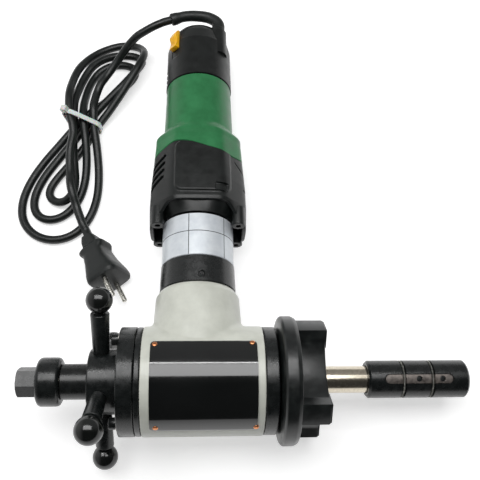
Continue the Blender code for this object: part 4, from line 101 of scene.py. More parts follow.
floor_mesh = bpy.data.meshes.new("floor")
corners = np.array([(-1, -1, 0), (1, -1, 0), (1, 1, 0), (-1, 1, 0)]) * FLOOR_REACH
floor_mesh.from_pydata(corners.tolist(), [], [(0, 1, 2, 3)])
floor = bpy.data.objects.new("floor", floor_mesh)
bpy.context.scene.collection.objects.link(floor)
paper = bpy.data.materials.new("white paper floor")
paper.use_nodes = True
tree = paper.node_tree
tree.nodes.clear()
path = add_node(tree, "ShaderNodeLightPath")
mirrored = add_node(tree, "ShaderNodeMath", {0: path.outputs["Is Camera Ray"],
                                             1: path.outputs["Is Glossy Ray"]}, operation="MAXIMUM")
seen = add_node(tree, "ShaderNodeMath", {0: mirrored.outputs[0], 1: path.outputs["Is Transmission Ray"]},
                operation="MAXIMUM")
matte = add_node(tree, "ShaderNodeBsdfDiffuse", {"Color": FLOOR_COLOUR})
glow = add_node(tree, "ShaderNodeEmission", {"Strength": FLOOR_SEEN})
lit = add_node(tree, "ShaderNodeAddShader", {0: matte.outputs[0], 1: glow.outputs[0]})
mixed = add_node(tree, "ShaderNodeMixShader", {0: seen.outputs[0], 1: matte.outputs[0], 2: lit.outputs[0]})
add_node(tree, "ShaderNodeOutputMaterial", {"Surface": mixed.outputs[0]})
floor.data.materials.append(paper)

world = bpy.data.worlds.new("studio")
bpy.context.scene.world = world
world.use_nodes = True
tree = world.node_tree
tree.nodes.clear()
way = add_node(tree, "ShaderNodeTexCoord")
split = add_node(tree, "ShaderNodeSeparateXYZ", {0: way.outputs["Generated"]})
level = add_node(tree, "ShaderNodeMapRange", {
    "Value": split.outputs["Y"], "From Min": SKY_TURN[0], "From Max": SKY_TURN[1], "To Min": SKY_FRONT,
    "To Max": SKY_BACK}, interpolation_type="SMOOTHSTEP")
from_left = add_node(tree, "ShaderNodeMapRange", {
    "Value": split.outputs["X"], "From Min": SKY_LEFT_TURN[0], "From Max": SKY_LEFT_TURN[1], "To Min": 0.0,
    "To Max": SKY_LEFT}, interpolation_type="SMOOTHSTEP")
total = add_node(tree, "ShaderNodeMath", {0: level.outputs[0], 1: from_left.outputs[0]}, operation="ADD")
sky = add_node(tree, "ShaderNodeBackground", {"Strength": total.outputs[0]})
path = add_node(tree, "ShaderNodeLightPath")
white = add_node(tree, "ShaderNodeBackground", {"Strength": 1.0})
chosen = add_node(tree, "ShaderNodeMixShader", {0: path.outputs["Is Camera Ray"], 1: sky.outputs[0],
                                                2: white.outputs[0]})
add_node(tree, "ShaderNodeOutputWorld", {"Surface": chosen.outputs[0]})

for name, place, size, power in SOFT_BOXES:
    lamp = bpy.data.lights.new(name, "AREA")
    lamp.shape = "RECTANGLE"
    lamp.size, lamp.size_y, lamp.energy = *size, power
    box = bpy.data.objects.new(name, lamp)
    side = np.cross((0.0, 1.0, 0.0), place)
    box.matrix_world = turned_to(place, side, np.cross(place, side))
    bpy.context.scene.collection.objects.link(box)

# The strain relief: a tapered sleeve of black rubber, moulded onto the cord, that bends out of the rear cap.
# A thick root holds it in the cap's gland and a collar ends it. Its line is in metres from the floor's point
# under the crossing, which is where the mandrel's axis meets the motor's.
RELIEF_EXIT = (17.2, 319.3, 16.0)
RELIEF_ROUTE = ((0.0169, 0.3306, 0.0422), (0.0091, 0.3378, 0.0420), (-0.0021, 0.3400, 0.0429),
                (-0.0142, 0.3392, 0.0441), (-0.0270, 0.3350, 0.0448))
RELIEF_ROOT_LENGTH, RELIEF_ROOT_RADIUS = 0.0035, 0.0064
RELIEF_RADII, RELIEF_COLLAR_RADIUS, RELIEF_EDGE = (0.0054, 0.0047), 0.0056, 0.0006
RELIEF_POINTS, RELIEF_ROWS, RELIEF_SIDES = 14, 91, 40
CURVE_STEPS = 24
JOIN_WITHIN = 1e-6
SHARP_ANGLE = 32
# The machine's own frame, in millimetres, holds all places but those of the cord, its ends and its tie: X runs
# along the mandrel, Y back along the motor and Z up, from the crossing. The machine rests on a ball, the
# cutter's rim and the motor's rear cap, so this frame is tilted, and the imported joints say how.
MILLIMETRE = 0.001
joints = {joint["name"]: joint for joint in frame["record"]["behaviour"]["joints"]}
CROSSING = np.array(joints["cutter_spin"]["pos_m"])
GROUND = np.array((CROSSING[0], CROSSING[1], 0.0))
ALONG, REARWARD = unit(joints["cutter_spin"]["axis"]), unit(joints["rotor_spin"]["axis"])
AXES = np.stack([ALONG, REARWARD, np.cross(ALONG, REARWARD)])
ORIGIN, TO_RIGHT, TO_REAR, TO_TOP = (0, 0, 0), (1, 0, 0), (0, 1, 0), (0, 0, 1)


def in_row(points):
    """Places given in the machine's frame, in millimetres, as places in the row frame, in metres."""
    return np.asarray(points) * MILLIMETRE @ AXES + CROSSING


def full_turn(count):
    """Angles at even steps round a full turn."""
    return np.arange(count) * 2 * math.pi / count


def skin(rows, closed=False):
    """The points and faces of a skin over rows of points. Each row is a loop and is joined to the next; the
    last is joined to the first if closed, and else both ends are closed with a fan about their middles."""
    rows = np.asarray(rows, dtype=float)
    count, across = rows.shape[:2]
    points = rows.reshape(-1, 3)
    index = np.arange(count * across).reshape(count, across)
    if closed:
        index = np.vstack([index, index[:1]])
    first, second = index[:-1], index[1:]
    faces = [np.stack([first, second, np.roll(second, -1, 1), np.roll(first, -1, 1)], -1).reshape(-1, 4)]
    if not closed:
        points = np.vstack([points, rows[0].mean(0), rows[-1].mean(0)])
        faces += [np.stack([index[end], np.roll(index[end], -1), np.full(across, count * across + k)], -1)
                  for k, end in enumerate((0, -1))]
    return points, faces


def travelled(points):
    """How far each point of a line lies along it: the sum of the steps before it."""
    return np.concatenate([[0.0], np.cumsum(np.linalg.norm(np.diff(points, axis=0), axis=1))])


def smooth_curve(points, count):
    """Points at even steps along a smooth curve, a Catmull-Rom one, through the given ones."""
    points = np.array(points, dtype=float)
    padded = np.vstack([2 * points[0] - points[1], points, 2 * points[-1] - points[-2]])
    a, b, c, d = (padded[k:len(points) - 1 + k, None] for k in range(4))
    t = (np.arange(CURVE_STEPS) / CURVE_STEPS)[None, :, None]
    bend, twist = 2 * a - 5 * b + 4 * c - d, 3 * b - a - 3 * c + d
    fine = 0.5 * (2 * b + (c - a) * t + bend * t * t + twist * t ** 3)
    fine = np.vstack([fine.reshape(-1, 3), points[-1:]])
    way = travelled(fine)
    steps = np.linspace(0.0, way[-1], count)
    return np.stack([np.interp(steps, way, fine[:, axis]) for axis in range(3)], 1)


def tube(path, radii, sides, apart=TO_TOP, closed=False):
    """A skin round a path that never heads the given way: at each of its points a circle of its radius, which
    is side * cos + (side x ahead) * sin, where the side lies across both the heading and that way."""
    ahead = unit(np.roll(path, -1, 0) - np.roll(path, 1, 0) if closed else np.gradient(path, axis=0))
    side = unit(np.cross(ahead, apart))
    turn = full_turn(sides)[None, :, None]
    ring = np.cos(turn) * side[:, None] + np.sin(turn) * np.cross(side, ahead)[:, None]
    return skin(path[:, None] + ring * np.asarray(radii)[..., None, None], closed)


def linear(code):
    """A colour from its sRGB hex code, in linear light: each share is divided by 12.92 where it is dark, and
    else 0.055 is added to it, it is divided by 1.055 and raised to the power of 2.4."""
    share = np.array([int(code[k:k + 2], 16) for k in (1, 3, 5)]) / 255
    return (*np.where(share <= 0.04045, share / 12.92, ((share + 0.055) / 1.055) ** 2.4).tolist(), 1.0)


def finish(name, light, dark, grain, roughness, relief, relief_grain, stretch=(1, 1, 1), contrast=(0.35, 0.65),
           **sockets):
    """A finish that is never quite even: noise over a grain in millimetres drifts between two shades and
    between two roughnesses, and noise over a finer grain raises a relief in millimetres. The stretch squeezes
    both along the row frame's axes, the contrast says how much of the noise is one shade or the other, and
    the sockets are the shader's own. Real grit, pores and tool marks are mostly finer than a tenth of a
    millimetre, too fine to show in the render, so a relief's grain is as coarse as it needs to be to show."""
    made = bpy.data.materials.new(name)
    made.use_nodes = True
    tree = made.node_tree
    tree.nodes.clear()
    where = add_node(tree, "ShaderNodeTexCoord")
    scaled = add_node(tree, "ShaderNodeMapping", {"Vector": where.outputs["Object"], "Scale": stretch})
    broad = add_node(tree, "ShaderNodeTexNoise", {"Vector": scaled.outputs[0], "Detail": 5.0,
                                                  "Scale": 1 / (grain * MILLIMETRE), "Roughness": 0.6})
    drift = add_node(tree, "ShaderNodeMapRange", {"Value": broad.outputs[0], "From Min": contrast[0],
                                                  "From Max": contrast[1]})
    shade = add_node(tree, "ShaderNodeMix", data_type="RGBA",
                     inputs={0: drift.outputs[0], 6: linear(dark), 7: linear(light)})
    gloss = add_node(tree, "ShaderNodeMapRange", {"Value": drift.outputs[0], "To Min": roughness[0],
                                                  "To Max": roughness[1]})
    fine = add_node(tree, "ShaderNodeTexNoise", {"Vector": scaled.outputs[0],
                                                 "Scale": 1 / (relief_grain * MILLIMETRE), "Detail": 3.0})
    bump = add_node(tree, "ShaderNodeBump", {"Height": fine.outputs[0], "Distance": relief * MILLIMETRE})
    shader = add_node(tree, "ShaderNodeBsdfPrincipled", {
        "Base Color": shade.outputs[2], "Roughness": gloss.outputs[0], "Normal": bump.outputs[0], **sockets})
    add_node(tree, "ShaderNodeOutputMaterial", {"Surface": shader.outputs[0]})
    return made


def piece(name, skins, body, nodes, material, in_row_frame=False, sharp=SHARP_ANGLE):
    """Makes one piece of its skins, facing outward, that rides on a body and replaces its CAD nodes."""
    points = np.vstack([skin_points for skin_points, _ in skins])
    starts = np.cumsum([0] + [len(skin_points) for skin_points, _ in skins])
    shifted = [part + start for (_, parts), start in zip(skins, starts) for part in parts]
    faces = [face for part in shifted for face in part.tolist()]
    mesh = bpy.data.meshes.new(name)
    mesh.from_pydata((points if in_row_frame else in_row(points)).tolist(), [], faces)
    shape = bmesh.new()
    shape.from_mesh(mesh)
    bmesh.ops.remove_doubles(shape, verts=shape.verts, dist=JOIN_WITHIN)
    bmesh.ops.recalc_face_normals(shape, faces=shape.faces)
    shape.to_mesh(mesh)
    shape.free()
    mesh.shade_smooth()
    mesh.set_sharp_from_angle(angle=math.radians(sharp))
    mesh.materials.append(material)
    obj = bpy.data.objects.new(name, mesh)
    bpy.context.scene.collection.objects.link(obj)
    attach(obj, body)
    if nodes:
        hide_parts(*nodes)
    return obj


# Moulded rubber: black and matt, a little dusty.
RUBBER = finish("black moulded rubber", "#191D1C", "#111514", 6.0, (0.40, 0.52), 0.03, 0.6,
                **{"IOR": 1.52, "Specular IOR Level": 0.4})
exit_place = in_row(RELIEF_EXIT) - GROUND
root_place = exit_place + REARWARD * RELIEF_ROOT_LENGTH
relief_line = smooth_curve([exit_place, root_place, *RELIEF_ROUTE], RELIEF_POINTS)
share = np.linspace(0.0, 1.0, RELIEF_POINTS)
radii = RELIEF_RADII[0] + (RELIEF_RADII[1] - RELIEF_RADII[0]) * share
radii[:2], radii[-2:] = RELIEF_ROOT_RADIUS, RELIEF_COLLAR_RADIUS
fine_radii = np.interp(np.linspace(0.0, 1.0, RELIEF_ROWS), share, radii)
fine_radii[[0, -1]] -= RELIEF_EDGE
relief_skin = tube(smooth_curve(relief_line, RELIEF_ROWS) + GROUND, fine_radii, RELIEF_SIDES)
relief = piece("strain_relief_sleeve", [relief_skin], "housing", ["strain_relief"], RUBBER, in_row_frame=True)

# The plug: black rubber, moulded onto the cord's end and drawn in behind its front for the fingers, with two
# bright round pins held in it. It lies on the floor, rolled a little, and the cord enters at its neck.
PLUG_NECK, PLUG_FRONT = (-0.0985, 0.1322, 0.0100), (-0.0760, 0.0895, 0.0178)
PLUG_ROLL = math.radians(18)
PLUG_HALF_WIDTH, PLUG_HALF_HEIGHT = 0.0145, 0.0172
PLUG_POWER = 5.0
PLUG_SHARES = ((0.00, 0.34, 0.40), (0.10, 0.50, 0.44), (0.22, 0.52, 0.48), (0.27, 0.86, 0.62),
               (0.33, 0.86, 0.64), (0.40, 0.66, 0.68), (0.60, 0.74, 0.82), (0.85, 0.96, 0.97),
               (0.95, 1.00, 1.00), (1.00, 0.92, 0.95))
PLUG_ROWS, PLUG_SIDES, PLUG_ROUNDINGS = 90, 80, 4
PLUG_TRIAL_SIDES = 20
FRONT_SHARE, FRONT_BULGE = 0.94, 0.0003
PIN_RADIUS, PIN_LENGTH, PIN_END_ROUND = 0.0022, 0.0190, 0.0012
PIN_SPACING, PIN_SEAT_DEPTH = 0.0186, 0.0040
PIN_SIDES = 32
LAY_GAP, SEAT_GAP = 0.0001, 0.0003
ROUND_STEPS = (0.0, 0.25, 0.5, 0.75, 1.0)
SIDES = 128
NEARLY_UPRIGHT = 0.9
neck, front = np.array(PLUG_NECK), np.array(PLUG_FRONT)
plug_ahead = unit(front - neck)
level_side = unit(np.cross(plug_ahead, (0.0, 0.0, 1.0)))
plug_side = level_side * math.cos(PLUG_ROLL) - np.cross(level_side, plug_ahead) * math.sin(PLUG_ROLL)
plug_up = np.cross(level_side, plug_ahead) * math.cos(PLUG_ROLL) + level_side * math.sin(PLUG_ROLL)


def plug_rows(shares, sides):
    """Rings of the plug's body, from neck to front: rectangles rounded by a power of the cosine and sine."""
    turn = full_turn(sides)
    wide = np.sign(np.cos(turn)) * np.abs(np.cos(turn)) ** (2 / PLUG_POWER)
    high = np.sign(np.sin(turn)) * np.abs(np.sin(turn)) ** (2 / PLUG_POWER)
    along, width, height = (np.array(shares)[:, k, None] for k in range(3))
    return (neck + (front - neck) * along[:, :, None]
            + (width * PLUG_HALF_WIDTH * wide)[:, :, None] * plug_side
            + (height * PLUG_HALF_HEIGHT * high)[:, :, None] * plug_up)


def rounded(profile, closed=False):
    """A profile's points, where each corner with a third value is rounded over that length of both its sides,
    on the curve before (1 - t)^2 + 2 corner t (1 - t) + after t^2."""
    out = []
    for k, corner in enumerate(profile):
        place, reach = np.array(corner[:2], dtype=float), corner[2] if len(corner) > 2 else 0.0
        if not reach:
            out.append(place)
            continue
        before = place + unit(np.array(profile[k - 1][:2]) - place) * reach
        after = place + unit(np.array(profile[(k + 1) % len(profile)][:2]) - place) * reach
        out += [before * (1 - t) ** 2 + 2 * place * t * (1 - t) + after * t ** 2 for t in ROUND_STEPS]
    return np.array(out)


def ring_about(axis, turn):
    """Ways out from an axis, by angles about it: first * cos + (axis x first) * sin."""
    first = unit(np.cross(axis, TO_TOP if abs(axis[2]) < NEARLY_UPRIGHT else TO_RIGHT))
    return np.cos(turn)[:, None] * first + np.sin(turn)[:, None] * np.cross(axis, first)


def spun(profile, origin=ORIGIN, axis=TO_RIGHT, sides=SIDES, closed=False):
    """A skin turned about an axis, from a profile of places a and radii r: origin + axis * a + ring * r."""
    axis, outline = unit(axis), rounded(profile, closed)
    ring = ring_about(axis, full_turn(sides))
    return skin(np.array(origin) + outline[:, :1, None] * axis + outline[:, 1:, None] * ring, closed)


# Bright steel, as turned or ground: a cool grey metal with a soft gleam, for pins, washers, gears and
# bearings.
BRIGHT_STEEL = finish("bright machined steel", "#CDCBC4", "#A9A79F", 3.0, (0.22, 0.34), 0.006, 0.5,
                      **{"Metallic": 1.0})
plug_lift = LAY_GAP - plug_rows(PLUG_SHARES, PLUG_TRIAL_SIDES)[..., 2].min()
neck, front = neck + (0.0, 0.0, plug_lift), front + (0.0, 0.0, plug_lift)
along = np.linspace(0.0, 1.0, PLUG_ROWS)
keys = np.array(PLUG_SHARES)
eased = np.stack([along, *(np.interp(along, keys[:, 0], keys[:, k]) for k in (1, 2))], 1)
for _ in range(PLUG_ROUNDINGS):
    eased[1:-1, 1:] = (eased[:-2, 1:] + 2 * eased[1:-1, 1:] + eased[2:, 1:]) / 4
rows = plug_rows(eased, PLUG_SIDES)
face = rows[-1:] * FRONT_SHARE + rows[-1].mean(0) * (1 - FRONT_SHARE) + plug_ahead * FRONT_BULGE
rows = np.concatenate([rows, face])
rows += (0.0, 0.0, LAY_GAP - rows[..., 2].min())
plug_piece = piece("moulded_plug", [skin(rows + GROUND)], "housing", ["plug_body"], RUBBER, in_row_frame=True)
pin_profile = ((SEAT_GAP - PIN_SEAT_DEPTH, 0), (SEAT_GAP - PIN_SEAT_DEPTH, PIN_RADIUS),
               (PIN_LENGTH, PIN_RADIUS, PIN_END_ROUND), (PIN_LENGTH, 0))
for k, side in enumerate((1, -1)):
    pin = spun(pin_profile, front + GROUND + plug_up * side * PIN_SPACING / 2, plug_ahead, PIN_SIDES)
    piece(f"round_pin_{k + 1}", [pin], "housing", [f"plug_pin_{k + 1}"], BRIGHT_STEEL,
                      in_row_frame=True)

# The cord: one run of black vinyl cord from the strain relief down to the hank, six half loops tied at their
# waist, and the tail to the plug. Its line follows the CAD's route, in metres from the floor's point under the
# crossing, with rounder loop ends and a smoother fall, and it is settled on the floor and on itself.
CORD_RADIUS = 0.00375
CORD_CLEARANCE = 0.0009
CORD_POINTS_EACH_LOOP = 16
CORD_FINE_STEPS = 5
CORD_NEIGHBOURS = 3
CORD_SETTLE_ROUNDS, CORD_LAST_ROUNDS = 400, 30
CORD_SINK_SHARE = 0.12
CORD_SMOOTHING, CORD_ROUNDNESS = 6, 5
LEAD_ROUTE = ((-0.0447, 0.3282, 0.0440), (-0.0600, 0.3225, 0.0385), (-0.0728, 0.3150, 0.0310),
              (-0.0851, 0.3030, 0.0290), (-0.0945, 0.2890, 0.0290), (-0.1005, 0.2720, 0.0290))
LEAD_POINTS, LEAD_HELD_POINTS, LEAD_RANK = 16, 5, 20
LEAD_FALL = (0.0336, 0.0276, 0.0222, 0.0186, 0.0172, 0.0178)
WAIST_PLACE = (-0.1100, 0.2460)
WAIST_HEADING = math.radians(255)
WAIST_STEP = 0.0094
WAIST_SHARES = (1.0, -1.0, 0.0, 0.0, -1.0, 1.0, -1.2)
WAIST_RANKS = (4, 1, 5, 2, 6, 3, 7)
WAIST_RANK_REACH, WAIST_LIFT_REACH = 0.0420, 0.0160
LOOP_RANKS = (1, 1, 2, 2, 3, 3)
LOOP_REACHES = (0.1150, -0.0760, 0.0970, -0.0880, 0.0790, -0.0990)
LOOP_SPREADS = (0.0520, 0.0400, 0.0400, 0.0350, 0.0320, 0.0400)
LOOP_LEANS = (0.0, 0.0200, -0.0060, 0.0230, 0.0, 0.0140)
LOOP_BULBS = (0.0, 0.0015, 0.0, 0.0010, 0.0032, 0.0)
TAIL_ROUTE = ((-0.1170, 0.2330), (-0.1192, 0.2121), (-0.1172, 0.1850), (-0.1122, 0.1640), (-0.1058, 0.1465))
TAIL_POINTS, TAIL_HELD_POINTS, TAIL_RANK = 13, 2, 21
TIE_THICKNESS, TIE_GAP = 0.0012, 0.0004


def loop_plan():
    """The hank's half loops seen from above: each goes out by its reach times sin t and back, across it a
    cosine between its two places in the waist, a sine of 2t that opens it, a lean that fades at both ends,
    and a sine of 4t that rounds the far end, so that the cord isn't folded sharply there."""
    ahead = np.array((math.cos(WAIST_HEADING), math.sin(WAIST_HEADING)))
    aside = np.array((-ahead[1], ahead[0]))
    count = len(LOOP_REACHES)
    t = np.arange(CORD_POINTS_EACH_LOOP * count + 1) / CORD_POINTS_EACH_LOOP
    mark = np.minimum(t.astype(int), count - 1)
    t = (t - mark) * math.pi
    begin, end = np.array(WAIST_SHARES)[mark], np.array(WAIST_SHARES)[mark + 1]
    across = WAIST_STEP * ((begin + end) / 2 + (begin - end) / 2 * np.cos(t))
    across += np.array(LOOP_SPREADS)[mark] / 2 * np.sin(2 * t) + np.array(LOOP_LEANS)[mark] * np.sin(t) ** 2
    across -= np.array(LOOP_BULBS)[mark] * np.sin(4 * t)
    reach = np.array(LOOP_REACHES)[mark] * np.sin(t)
    return np.array(WAIST_PLACE) + reach[:, None] * ahead + across[:, None] * aside, mark, np.abs(reach)


def settled(plan, waist_ranks, loop_ranks, in_waist, floor_level, fixed):
    """Heights at which the cord lies on the floor and on what it crosses: it is eased and sinks a little,
    then each place over another run is raised to a full cord's distance from it, until both agree."""
    apart = 2 * CORD_RADIUS + CORD_CLEARANCE
    share = np.tile(np.arange(CORD_FINE_STEPS) / CORD_FINE_STEPS, len(plan) - 1)
    start = np.repeat(np.arange(len(plan) - 1), CORD_FINE_STEPS)
    nearest = np.where(share < 0.5, start, start + 1)
    fine = plan[start] * (1 - share)[:, None] + plan[start + 1] * share[:, None]
    gap = np.linalg.norm(fine[:, None] - fine[None], axis=2)
    by_strand = in_waist[nearest][:, None] & in_waist[nearest][None]
    waist, loop = waist_ranks[nearest], loop_ranks[nearest]
    above = np.where(by_strand, waist[:, None] > waist[None], loop[:, None] > loop[None])
    over = above & (gap < apart) & (np.abs(start[:, None] - start[None]) > CORD_NEIGHBOURS)
    rise = np.sqrt(np.maximum(0.0, apart ** 2 - gap ** 2))
    known = ~np.isnan(fixed)
    weight = (1 - share) ** 2 + share ** 2
    height = floor_level.copy()
    for turn in range(CORD_SETTLE_ROUNDS):
        if turn < CORD_SETTLE_ROUNDS - CORD_LAST_ROUNDS:
            eased = height.copy()
            eased[1:-1] = (height[:-2] + 2 * height[1:-1] + height[2:]) / 4
            height = np.maximum(eased - CORD_SINK_SHARE * CORD_RADIUS, floor_level)
        height[known] = fixed[known]
        level = height[start] * (1 - share) + height[start + 1] * share
        lack = (np.where(over, level[None] + rise, 0.0).max(axis=1) - level).clip(min=0.0)
        raised = np.zeros_like(height)
        np.maximum.at(raised, start, lack * (1 - share) / weight)
        np.maximum.at(raised, start + 1, lack * share / weight)
        height = height + raised
    height[known] = fixed[known]
    return height


# Flexible vinyl: black and satin, a little dusty.
VINYL = finish("black vinyl cord", "#171B1A", "#0F1312", 9.0, (0.32, 0.44), 0.02, 0.8,
               **{"IOR": 1.52, "Specular IOR Level": 0.4})
loops, marks, reach = loop_plan()
cord_way = unit(relief_line[-1] - relief_line[-2])
leave = relief_line[-1] + cord_way * SEAT_GAP
lead = np.vstack([leave, smooth_curve([leave + cord_way * CORD_RADIUS * 2, *LEAD_ROUTE, (*loops[0], 0.0)],
                                      LEAD_POINTS)[:-1]])
stop = neck - plug_ahead * SEAT_GAP
tail = np.vstack([smooth_curve([(*loops[-1], 0.0), *((*place, 0.0) for place in TAIL_ROUTE),
                                stop - plug_ahead * CORD_RADIUS * 2], TAIL_POINTS)[1:], stop])
plan = np.vstack([lead[:, :2], loops, tail[:, :2]])
going_out = np.append(reach[1:] > reach[:-1], False)
by_strand = np.array(WAIST_RANKS)[np.where(going_out, marks, marks + 1)]
waist_ranks = np.concatenate([np.full(len(lead), LEAD_RANK), by_strand, np.full(len(tail), TAIL_RANK)])
loop_ranks = np.concatenate([np.full(len(lead), LEAD_RANK), np.array(LOOP_RANKS)[marks],
                             np.full(len(tail), TAIL_RANK)])
in_waist = np.concatenate([np.full(len(lead), True), reach < WAIST_RANK_REACH, np.full(len(tail), True)])
fixed = np.full(len(plan), np.nan)
fixed[:LEAD_HELD_POINTS] = lead[:LEAD_HELD_POINTS, 2]
fixed[LEAD_HELD_POINTS:LEAD_HELD_POINTS + len(LEAD_FALL)] = LEAD_FALL
fixed[-TAIL_HELD_POINTS:] = tail[-TAIL_HELD_POINTS:, 2]
near_waist = np.linalg.norm(plan - np.array(WAIST_PLACE), axis=1) < WAIST_LIFT_REACH
floor_level = CORD_RADIUS + LAY_GAP + np.where(near_waist, TIE_THICKNESS + 2 * TIE_GAP, 0.0)
cord_line = np.column_stack([plan, settled(plan, waist_ranks, loop_ranks, in_waist, floor_level, fixed)])
cord_points = smooth_curve(cord_line, len(cord_line) * CORD_SMOOTHING) + GROUND
curve = bpy.data.curves.new("power_cord", "CURVE")
curve.dimensions = "3D"
curve.bevel_depth = CORD_RADIUS
curve.bevel_resolution = CORD_ROUNDNESS
curve.use_fill_caps = True
spline = curve.splines.new("POLY")
spline.points.add(len(cord_points) - 1)
spline.points.foreach_set("co", np.column_stack([cord_points, np.ones(len(cord_points))]).ravel())
spline.use_smooth = True
curve.materials.append(VINYL)
power_cord = bpy.data.objects.new("power_cord", curve)
bpy.context.scene.collection.objects.link(power_cord)
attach(power_cord, "housing")
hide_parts("cord_lead", "cord_hank", "cord_tail")

# The cable tie: a strap of natural nylon pulled round the strands in the waist, with its square head on top.
# It lies as far out in each direction as the farthest strand, and each of its corners is where two such
# limits meet.
TIE_WIDTH, TIE_MARGIN = 0.0042, 0.001
TIE_SIDES, TIE_SMOOTHING = 72, 12
TIE_HEAD_SIZE, TIE_HEAD_CORNER_SHARE, TIE_HEAD_EDGE = 0.0055, 0.2, 0.0006
TIE_HEAD_TURN = math.radians(105)


def outward(loop):
    """The ways out of a flat loop, across the chord between each point's neighbours."""
    ahead = unit(np.roll(loop, -1, 0) - np.roll(loop, 1, 0))
    out = np.stack([ahead[:, 1], -ahead[:, 0]], 1)
    return out if (out * loop).sum() >= (out * loop.mean(0)).sum() else -out


def swept(loop, steps, origin=ORIGIN, frame_axes=(TO_RIGHT, TO_REAR, TO_TOP)):
    """A skin over a flat loop of points carried along a way, with each step's inset of the loop: the loop
    lies along the first two axes, its corners stay rounded, and each step is (place on the third axis,
    inset)."""
    loop = np.asarray(loop, dtype=float)
    out = outward(loop)
    first, second, third = (np.array(axis, dtype=float) for axis in frame_axes)
    rows = []
    for place, inset in steps:
        flat = loop - out * inset
        rows.append(np.array(origin) + flat[:, :1] * first + flat[:, 1:] * second + place * third)
    return skin(rows)


def oblong(half_width, half_length, corner, steps=6):
    """A rounded rectangle as a loop of points: a quarter of a circle about each corner's middle."""
    turn = np.linspace(0, math.pi / 2, steps)
    arc = np.stack([np.cos(turn), np.sin(turn)], 1) * corner
    middles = np.array([(1, 1), (-1, 1), (-1, -1), (1, -1)]) * (half_width - corner, half_length - corner)
    return np.vstack([arc @ np.array([(math.cos(k * math.pi / 2), math.sin(k * math.pi / 2)),
                                      (-math.sin(k * math.pi / 2), math.cos(k * math.pi / 2))]) + middles[k]
                      for k in range(4)])


# Nylon without pigment: milky white, and light goes through it.
TIE_NYLON = finish("natural nylon tie", "#E8ECE8", "#D2D7D2", 2.0, (0.30, 0.42), 0.01, 0.4,
                   **{"IOR": 1.53, "Subsurface Weight": 0.4, "Subsurface Scale": 0.002})
ahead = np.array((math.cos(WAIST_HEADING), math.sin(WAIST_HEADING), 0.0))
aside = np.array((-ahead[1], ahead[0], 0.0))
centre = np.array((*WAIST_PLACE, 0.0))
fine_line = smooth_curve(cord_line, len(cord_line) * TIE_SMOOTHING)
near = (np.abs((fine_line - centre) @ ahead) < TIE_WIDTH / 2 + TIE_MARGIN) & (
    np.linalg.norm(fine_line[:, :2] - WAIST_PLACE, axis=1) < WAIST_LIFT_REACH * 2)
places = np.stack([(fine_line[near] - centre) @ aside, fine_line[near, 2]], 1)
turn = full_turn(TIE_SIDES)
normals = np.stack([np.cos(turn), np.sin(turn)], 1)
reach_out = (places @ normals.T).max(axis=0) + CORD_RADIUS + TIE_GAP
rows = []
for thick, shift in ((0, -1), (1, -1), (1, 1), (0, 1)):
    far = reach_out + thick * TIE_THICKNESS
    step = (np.roll(far, -1) - far * math.cos(turn[1])) / math.sin(turn[1])
    corners = normals * far[:, None] + np.stack([-normals[:, 1], normals[:, 0]], 1) * step[:, None]
    rows.append(centre + corners[:, :1] * aside + corners[:, 1:] * TO_TOP + ahead * shift * TIE_WIDTH / 2)
band = skin(rows, closed=True)
head_way = np.array((math.cos(TIE_HEAD_TURN), math.sin(TIE_HEAD_TURN)))
at = places[(places @ head_way).argmax()] + head_way * (CORD_RADIUS + TIE_GAP)
up = aside * head_way[0] + np.array(TO_TOP) * head_way[1]
half = TIE_HEAD_SIZE / 2
head_steps = ((TIE_THICKNESS / 2, 0), (TIE_HEAD_SIZE, 0), (TIE_HEAD_SIZE + TIE_HEAD_EDGE, TIE_HEAD_EDGE))
head = swept(oblong(half, half, half * TIE_HEAD_CORNER_SHARE), head_steps,
             centre + aside * at[0] + np.array(TO_TOP) * at[1], (ahead, np.cross(up, ahead), up))
tie = piece("nylon_cable_tie", [(points + GROUND, faces) for points, faces in (band, head)], "housing",
            ["cable_tie"], TIE_NYLON, in_row_frame=True)

# The gear housing: a barrel of cast aluminium about the spindle, sprayed with grey enamel, with a stout neck
# for the motor. The neck grows out of the barrel in a fillet that is wide at the sides and thin over the top.
HOUSING_BACK, HOUSING_FRONT = -39.0, 47.0
HOUSING_RADIUS = 39.5
HOUSING_EDGE = 1.0
HOUSING_SIDES = 180
NECK_RADIUS = 33.2
NECK_TOP_RADIUS = 32.3
NECK_SHOULDER = 62.5
NECK_SHOULDER_LENGTH, NECK_SHOULDER_DROP = 1.2, 0.25
NECK_LENGTH = 67.0
NECK_CHAMFER = 2.6
NECK_LIP = 0.8
NECK_FILLET = 5.0
NECK_THIN_SHARE = 0.82
NECK_SUNK = 3.0
FILLET_ROWS = 12


def about_x(x, radius, angle):
    """Places about the mandrel's axis, by an angle from +Y towards +Z: (x, r cos, r sin)."""
    return np.stack(np.broadcast_arrays(x, radius * np.cos(angle), radius * np.sin(angle)), -1)


def about_y(y, radius, angle):
    """Places about the motor's axis, by an angle from +Z towards +X: (r sin, y, r cos)."""
    return np.stack(np.broadcast_arrays(radius * np.sin(angle), y, radius * np.cos(angle)), -1)


